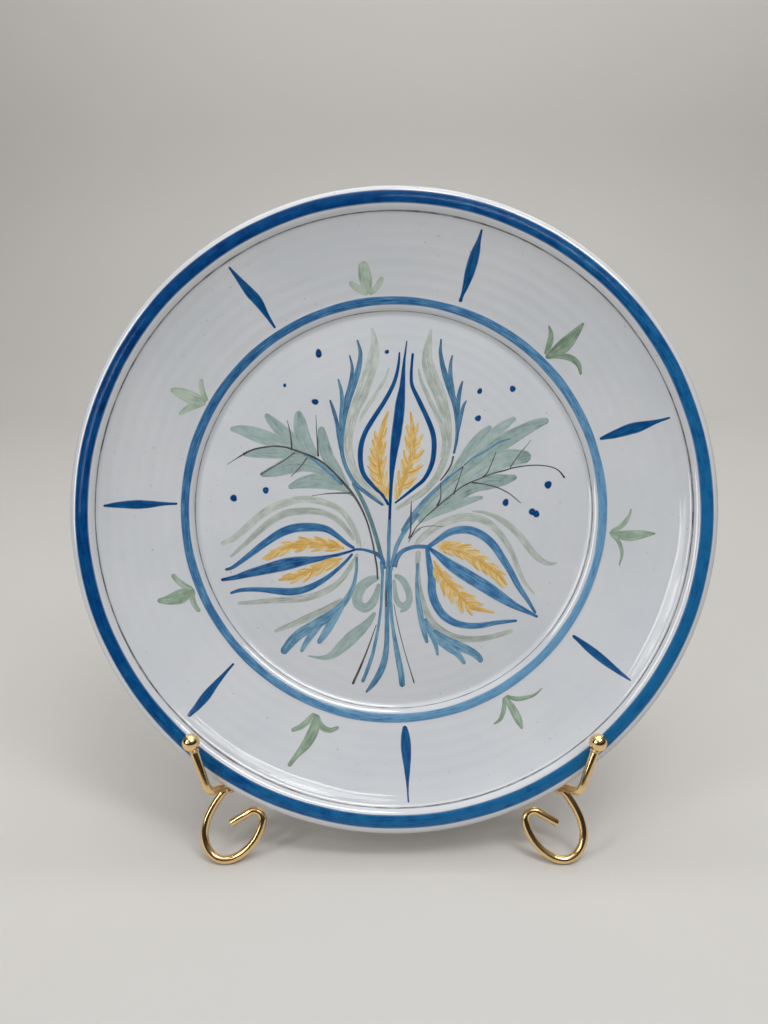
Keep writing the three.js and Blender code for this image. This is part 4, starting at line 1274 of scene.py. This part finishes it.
class PaintFeathers(bpy.types.Operator):
    """Paint the blue feather leaves, the ochre feathers and the stems"""

    bl_idname = "painted_plate.paint_feathers"
    bl_label = "Feathers and stems"

    def execute(self, context):
        height = context.scene.plate_settings.paint_height * 1000
        for name, strokes, seed, tone, colour in (
            ("upper_blue_feathers", UPPER_FEATHERS, 51, 0.58, "soft_blue_paint"),
            ("lower_blue_feathers", LOWER_FEATHERS, 52, 0.18, "soft_blue_paint"),
            ("side_stem", STEMS[:1], 55, 0.55, "stem_teal_paint"),
            ("blue_stems", STEMS[1:], 53, 0.40, "soft_blue_paint"),
        ):
            brush = Brush(seed, height * 0.7)
            brush.strokes(strokes, tone, spread=0.12)
            brush.piece(name, wash(colour))
        ochre = Brush(54, height * 0.55)
        for feather in FEATHERS:
            self.feather(ochre, feather["spine"], feather["barbs"])
        ochre.piece("ochre_feathers", wash("ochre_paint"))
        return {"FINISHED"}

    def feather(self, brush, spine, barbs):
        """Barbs flicked out from a spine, and the spine laid over them in two passes."""
        line = flowing(spine)[:, :2]
        to_root = np.array(spine[-1][:2], float) - np.array(spine[0][:2], float)
        if np.hypot(*spine[0][:2]) < np.hypot(*spine[-1][:2]):
            to_root = -to_root
        to_root /= np.linalg.norm(to_root)
        aside = np.array((-to_root[1], to_root[0]))
        for tip in barbs:
            tip = np.array(tip, float)
            gaps = line - tip - to_root * 7
            root = line[np.argmin(np.hypot(*gaps.T))]
            for reach, shift, load in ((0.80, 1.7, 0.22), (1.0, 0.0, 0.45), (0.84, -1.6, 0.28)):
                end = root + (tip - root) * reach + to_root * shift
                base = root + to_root * shift * 0.6
                side = math.copysign(0.35, float(np.dot(tip - root, aside)))
                middle = (end + base) / 2 + to_root * 0.6 + aside * side
                near_end = end * 0.6 + middle * 0.4
                points = [(*end, 0.4), (*near_end, 1.05), (*middle, 1.6), (*base, 2)]
                brush.stroke(points, tone=load + brush.hand.uniform(-0.12, 0.12), wobble=0.14)
        brush.stroke([(a, b, w * 1.15) for a, b, w in spine], lift=0.003, tone=0.48, wobble=0.12)
        brush.stroke([(a, b, w * 0.5) for a, b, w in spine[1:-1]], lift=0.004, tone=0.8, wobble=0.2)


class PaintTulips(bpy.types.Operator):
    """Paint the three tulips and the dots in deep blue"""

    bl_idname = "painted_plate.paint_tulips"
    bl_label = "Tulips and dots"

    def execute(self, context):
        height = context.scene.plate_settings.paint_height * 1000
        for name, strokes, seed, tones, colour in (
            ("tall_tulip", TALL_TULIP, 61, (0.40, 0.44, 0.48), "cobalt_paint"),
            ("left_tulip", LEFT_TULIP, 62, (0.54, 0.68, 0.54, 0.5), "petal_paint"),
            ("right_tulip", RIGHT_TULIP, 63, (0.30, 0.34, 0.36, 0.34), "petal_paint"),
        ):
            tulip = Brush(seed, height * 0.9)
            for points, tone in zip(strokes, tones):
                tulip.stroke(points, tone=tone, wobble=0.03)
            tulip.piece(name, wash(colour))
        dots = Brush(64, height * 0.9)
        for across, up, width, tall in DOTS:
            dots.dot(across, up, width, tall, dots.hand.uniform(-30, 30))
        dots.piece("blue_dots", wash("cobalt_paint"))
        return {"FINISHED"}


class BendEasel(bpy.types.Operator):
    """Bend the easel's side wires, ball tips, foot scrolls and cross bars"""

    bl_idname = "painted_plate.bend_easel"
    bl_label = "Easel wires"

    def execute(self, context):
        settings = context.scene.easel_settings
        plan = EaselPlan(settings)
        gold = gold_material()
        r, ball = plan.radius, settings.ball * 500
        for side, line, tip, scroll in (
            ("left", plan.side, plan.tip, plan.scroll),
            ("right", mirrored(plan.side), mirrored([plan.tip])[0], mirrored(plan.scroll)),
        ):
            for name, node, shape in (
                ("wire", "side_wire", tube(line, r)),
                ("ball", "prong_ball", ball_mesh(tip, (ball, ball, ball))),
                ("scroll", "foot_scroll", tube(scroll, r)),
            ):
                wire_piece(f"{side}_{name}", [shape], "easel", [f"{side}_{node}"], gold)
        for name, node, height in (
            ("lower_bar", "lower_cross_bar", BAR_HEIGHTS["lower"]),
            ("pivot_bar", "hinge_bar", BAR_HEIGHTS["hinge"]),
            ("rest_bar", "stop_bar", BAR_HEIGHTS["stop"]),
        ):
            half = plan.side_x(height) + 4
            ends = [Vector((-half, plan.bar_depth, height)), Vector((half, plan.bar_depth, height))]
            wire_piece(name, [tube(ends, r)], "easel", [node], gold)
        return {"FINISHED"}


class BrazeJoints(bpy.types.Operator):
    """Run small beads of braze into the easel's joints"""

    bl_idname = "painted_plate.braze_joints"
    bl_label = "Brazed joints"

    def execute(self, context):
        plan = EaselPlan(context.scene.easel_settings)
        braze = gold_material("braze", dull=0.25)
        middle = (plan.side_depth + plan.bar_depth) / 2
        beads = []
        for height in BAR_HEIGHTS.values():
            for side in (-1, 1):
                x = side * plan.side_x(height)
                beads.append(ball_mesh((x, middle, height), (2.3, 1.5, 2.1), 12, 20))
        beads.append(ball_mesh((0, plan.side_depth, SHOULDER_UP), (1.5, 2.15, 2.15), 12, 20))
        for side in (-1, 1):
            top = plan.scroll_top
            place = (side * abs(top.x), top.y, top.z - 2.4)
            beads.append(ball_mesh(place, (2.5, 2.2, 1.5), 12, 20))
            neck = plan.tip + (plan.foot - plan.tip).normalized() * 4.0
            place = (side * abs(neck.x), neck.y, neck.z)
            beads.append(ball_mesh(place, (2.35, 2.35, 1.3), 12, 20))
        wire_piece("braze_beads", beads, "easel", [], braze)
        return {"FINISHED"}


class HangRearLeg(bpy.types.Operator):
    """Bend the U shaped rear leg and roll its two hinge sleeves"""

    bl_idname = "painted_plate.hang_rear_leg"
    bl_label = "Rear leg"

    def execute(self, context):
        settings = context.scene.easel_settings
        plan = EaselPlan(settings)
        gold = gold_material()
        r = plan.radius
        offset = r + GAP + SLEEVE_WALL + GAP + r
        touching = 2 * r + GAP
        leg_lean = math.radians(20)
        hinge = Vector((0, plan.bar_depth, BAR_HEIGHTS["hinge"]))
        hinge_height = LIP_CENTRE.z + hinge.z * math.cos(LEAN) - hinge.y * math.sin(LEAN)
        drop = hinge_height + offset * math.sin(leg_lean) - r * math.cos(math.pi / 8)
        length = drop / math.cos(leg_lean)
        rise = BAR_HEIGHTS["stop"] - BAR_HEIGHTS["hinge"]
        tail = math.asin((offset - touching) / rise) - (LEAN + leg_lean)
        elbow = Vector((LEG_HALF_WIDTH, offset, offset * math.tan(tail / 2)))
        top = elbow + Vector((0, -math.sin(tail), math.cos(tail))) * 18
        right = [top, elbow, Vector((LEG_HALF_WIDTH, offset, -length))]
        corners = right + mirrored(reversed(right))
        swing = Matrix.Rotation(LEAN + leg_lean, 3, "X")
        line = [swing @ p + hinge for p in bent_through(corners, [offset, 9, 9, offset])]
        wire_piece("folding_leg", [tube(line, r)], "rear_leg", ["rear_leg"], gold)
        beads = []
        for side, name in ((-1, "left"), (1, "right")):
            place = hinge + Vector((side * LEG_HALF_WIDTH, 0, 0))
            sleeve = self.sleeve(place, r + GAP, r + GAP + SLEEVE_WALL)
            wire_piece(f"{name}_sleeve", [sleeve], "rear_leg", [f"{name}_hinge_sleeve"], gold)
            joint = swing @ Vector((side * LEG_HALF_WIDTH, offset - r, -0.4)) + hinge
            beads.append(ball_mesh(joint, (3.2, 1.1, 1.1), 12, 20))
        wire_piece("leg_braze", beads, "rear_leg", [], gold_material("braze", dull=0.25))
        return {"FINISHED"}

    def sleeve(self, centre, inner, outer):
        """A short tube round the pivot bar with softened rims."""
        half, soft, sides = 4.5, 0.3, 40
        section = [
            (inner, -half + soft), (inner + soft, -half),
            (outer - soft, -half), (outer, -half + soft),
            (outer, half - soft), (outer - soft, half),
            (inner + soft, half), (inner, half - soft),
        ]
        points = [
            centre + Vector((x, r * math.cos(turn), r * math.sin(turn)))
            for r, x in section
            for turn in circle_turns(sides)
        ]
        return points, grid_faces(len(section), sides, wrap_rows=True, wrap_columns=True)


LIGHT_DISTANCE = 1.1


class SetStage(bpy.types.Operator):
    """Lay the pale floor, hang the lights and place the camera"""

    bl_idname = "painted_plate.set_stage"
    bl_label = "Floor, lights and camera"

    def execute(self, context):
        settings = context.scene.stage_settings
        context.scene.view_settings.view_transform = "Standard"
        self.floor(settings)
        self.surround(context.scene, settings)
        self.light("overhead", Vector((0, -0.15, 1.5)), 1.5, 1.3, settings.overhead)
        self.light("rear_soft_box", Vector((0.7, 1.2, 1.1)), 1.2, 0.7, settings.rear)
        self.backdrop_light(settings)
        # Each with its turn round the plate, its tilt from the plate's axis, its size and its power
        for name, turn, tilt, width, tall, power in (
            ("right_soft_box", 66, 52, 0.75, 0.20, settings.side * 1.15),
            ("left_soft_box", 163, 52, 0.75, 0.20, settings.side * 0.78),
            ("front_window", 66, 29.5, 0.46, 0.085, settings.window * 0.7),
            ("side_window", 162, 28.5, 0.38, 0.085, settings.window * 0.5),
        ):
            around = ACROSS * math.cos(math.radians(turn)) + UP * math.sin(math.radians(turn))
            heading = around * math.sin(math.radians(tilt)) - BACK * math.cos(math.radians(tilt))
            place = LIP_CENTRE * 0.001 + heading * LIGHT_DISTANCE
            self.light(name, place, width, tall, power)
        self.camera(context.scene)
        return {"FINISHED"}

    def floor(self, settings):
        material, tree = new_material("plain_floor")
        place = put(tree, "TexCoord").outputs["Object"]
        tone = tuple(settings.floor)
        colour = blended(tree, noise(tree, place, 6.0, 4.0), tinted(tone, 0.98), tinted(tone, 1.02))
        grain = times(tree, noise(tree, place, 220.0, 3.0), 0.05)
        shader = put(tree, "BsdfPrincipled", {}, {
            "Base Color": colour,
            "Roughness": ranged(tree, noise(tree, place, 12.0, 3.0), 0.3, 0.7, 0.5, 0.6),
            "Normal": bumped(tree, grain),
        })
        finished(tree, shader)
        reach, bend_start, bend, top = 6, 0.9, 0.5, 2.4
        line = [(-reach, 0), (bend_start, 0)]
        for turn in np.linspace(0.1, math.pi / 2, 12):
            line.append((bend_start + bend * math.sin(turn), bend - bend * math.cos(turn)))
        line.append((bend_start + bend, top))
        points = [(x, y, z) for y, z in line for x in (-reach, reach)]
        mesh = bpy.data.meshes.new("floor")
        mesh.from_pydata(points, [], [tuple(reversed(f)) for f in grid_faces(len(line), 2)])
        mesh.shade_smooth()
        mesh.materials.append(material)
        floor = bpy.data.objects.new("floor", mesh)
        bpy.context.scene.collection.objects.link(floor)

    def surround(self, scene, settings):
        world = bpy.data.worlds.new("soft_room")
        scene.world = world
        world.use_nodes = True
        tree = world.node_tree
        tree.nodes.clear()
        heading = put(tree, "TexCoord").outputs["Generated"]
        height = put(tree, "SeparateXYZ", {}, {0: heading}).outputs[2]
        share = ranged(tree, height, 0.25, 0.95, smooth=True)
        colour = blended(tree, share, (0.09, 0.085, 0.08), (1.0, 1.0, 1.0))
        glow = put(tree, "Background", {}, {"Color": colour, "Strength": settings.surround})
        seen = put(tree, "Background", {}, {"Color": (*settings.floor, 1), "Strength": 0.8})
        straight = put(tree, "LightPath").outputs["Is Camera Ray"]
        both = put(tree, "MixShader", {}, {0: straight, 1: glow.outputs[0], 2: seen.outputs[0]})
        output = put(tree, "OutputWorld")
        tree.links.new(both.outputs[0], output.inputs[0])

    def light(self, name, place, width, tall, power):
        """A soft box or a window that faces the plate."""
        data = bpy.data.lights.new(name, "AREA")
        data.shape = "ELLIPSE" if "window" in name else "RECTANGLE"
        data.size, data.size_y = width, tall
        data.energy, data.color = power, (0.98, 0.99, 1.0)
        made = bpy.data.objects.new(name, data)
        made.location = place
        facing = (place - Vector((0, 0, 0.15))).normalized()
        wide = facing.cross(-BACK).normalized()
        made.rotation_euler = Matrix((wide, facing.cross(wide), facing)).transposed().to_euler()
        bpy.context.scene.collection.objects.link(made)
        return made

    def backdrop_light(self, settings):
        """A strip above and behind the plate that brightens the backdrop."""
        data = bpy.data.lights.new("backdrop", "AREA")
        data.shape, data.size, data.size_y = "RECTANGLE", 2.4, 0.3
        data.energy = settings.backdrop
        made = bpy.data.objects.new("backdrop", data)
        made.location = (0, 0.45, 1.5)
        made.rotation_euler = (math.radians(48), 0, 0)
        bpy.context.scene.collection.objects.link(made)

    def camera(self, scene):
        data = bpy.data.cameras.new("camera")
        data.lens, data.sensor_width, data.sensor_fit = 27.04, 36, "AUTO"
        data.clip_start, data.clip_end = 0.01, 20
        made = bpy.data.objects.new("camera", data)
        made.location = (LIP_CENTRE + ACROSS * -4.73 + UP * -1.24 - BACK * 353.3) * 0.001
        made.rotation_euler = (math.radians(90) - LEAN, 0, 0)
        scene.collection.objects.link(made)
        scene.camera = made


OPERATORS = (
    ThrowPlate, BandRim, DashFlange, WashSepals, PaintLeaves, PaintFeathers, PaintTulips,
    BendEasel, BrazeJoints, HangRearLeg, SetStage,
)


class PLATE_PT_tools(bpy.types.Panel):
    """Buttons and settings of the painted plate."""

    bl_label = "Painted plate"
    bl_idname = "PLATE_PT_tools"
    bl_space_type = "VIEW_3D"
    bl_region_type = "UI"
    bl_category = "Painted plate"

    def draw(self, context):
        for group in SETTINGS:
            settings = getattr(context.scene, group)
            box = self.layout.box()
            for name in settings.__annotations__:
                box.prop(settings, name)
        for operator in OPERATORS:
            self.layout.operator(operator.bl_idname)


SETTINGS = {
    "plate_settings": PlateSettings,
    "easel_settings": EaselSettings,
    "stage_settings": StageSettings,
}
CLASSES = (*SETTINGS.values(), *OPERATORS, PLATE_PT_tools)


def register():
    for cls in CLASSES:
        bpy.utils.register_class(cls)
    for name, group in SETTINGS.items():
        setattr(bpy.types.Scene, name, bpy.props.PointerProperty(type=group))


def unregister():
    for name in SETTINGS:
        delattr(bpy.types.Scene, name)
    for cls in reversed(CLASSES):
        bpy.utils.unregister_class(cls)


def main():
    register()
    for operator in OPERATORS:
        module, action = operator.bl_idname.split(".")
        getattr(getattr(bpy.ops, module), action)()


if __name__ == "__main__":
    main()
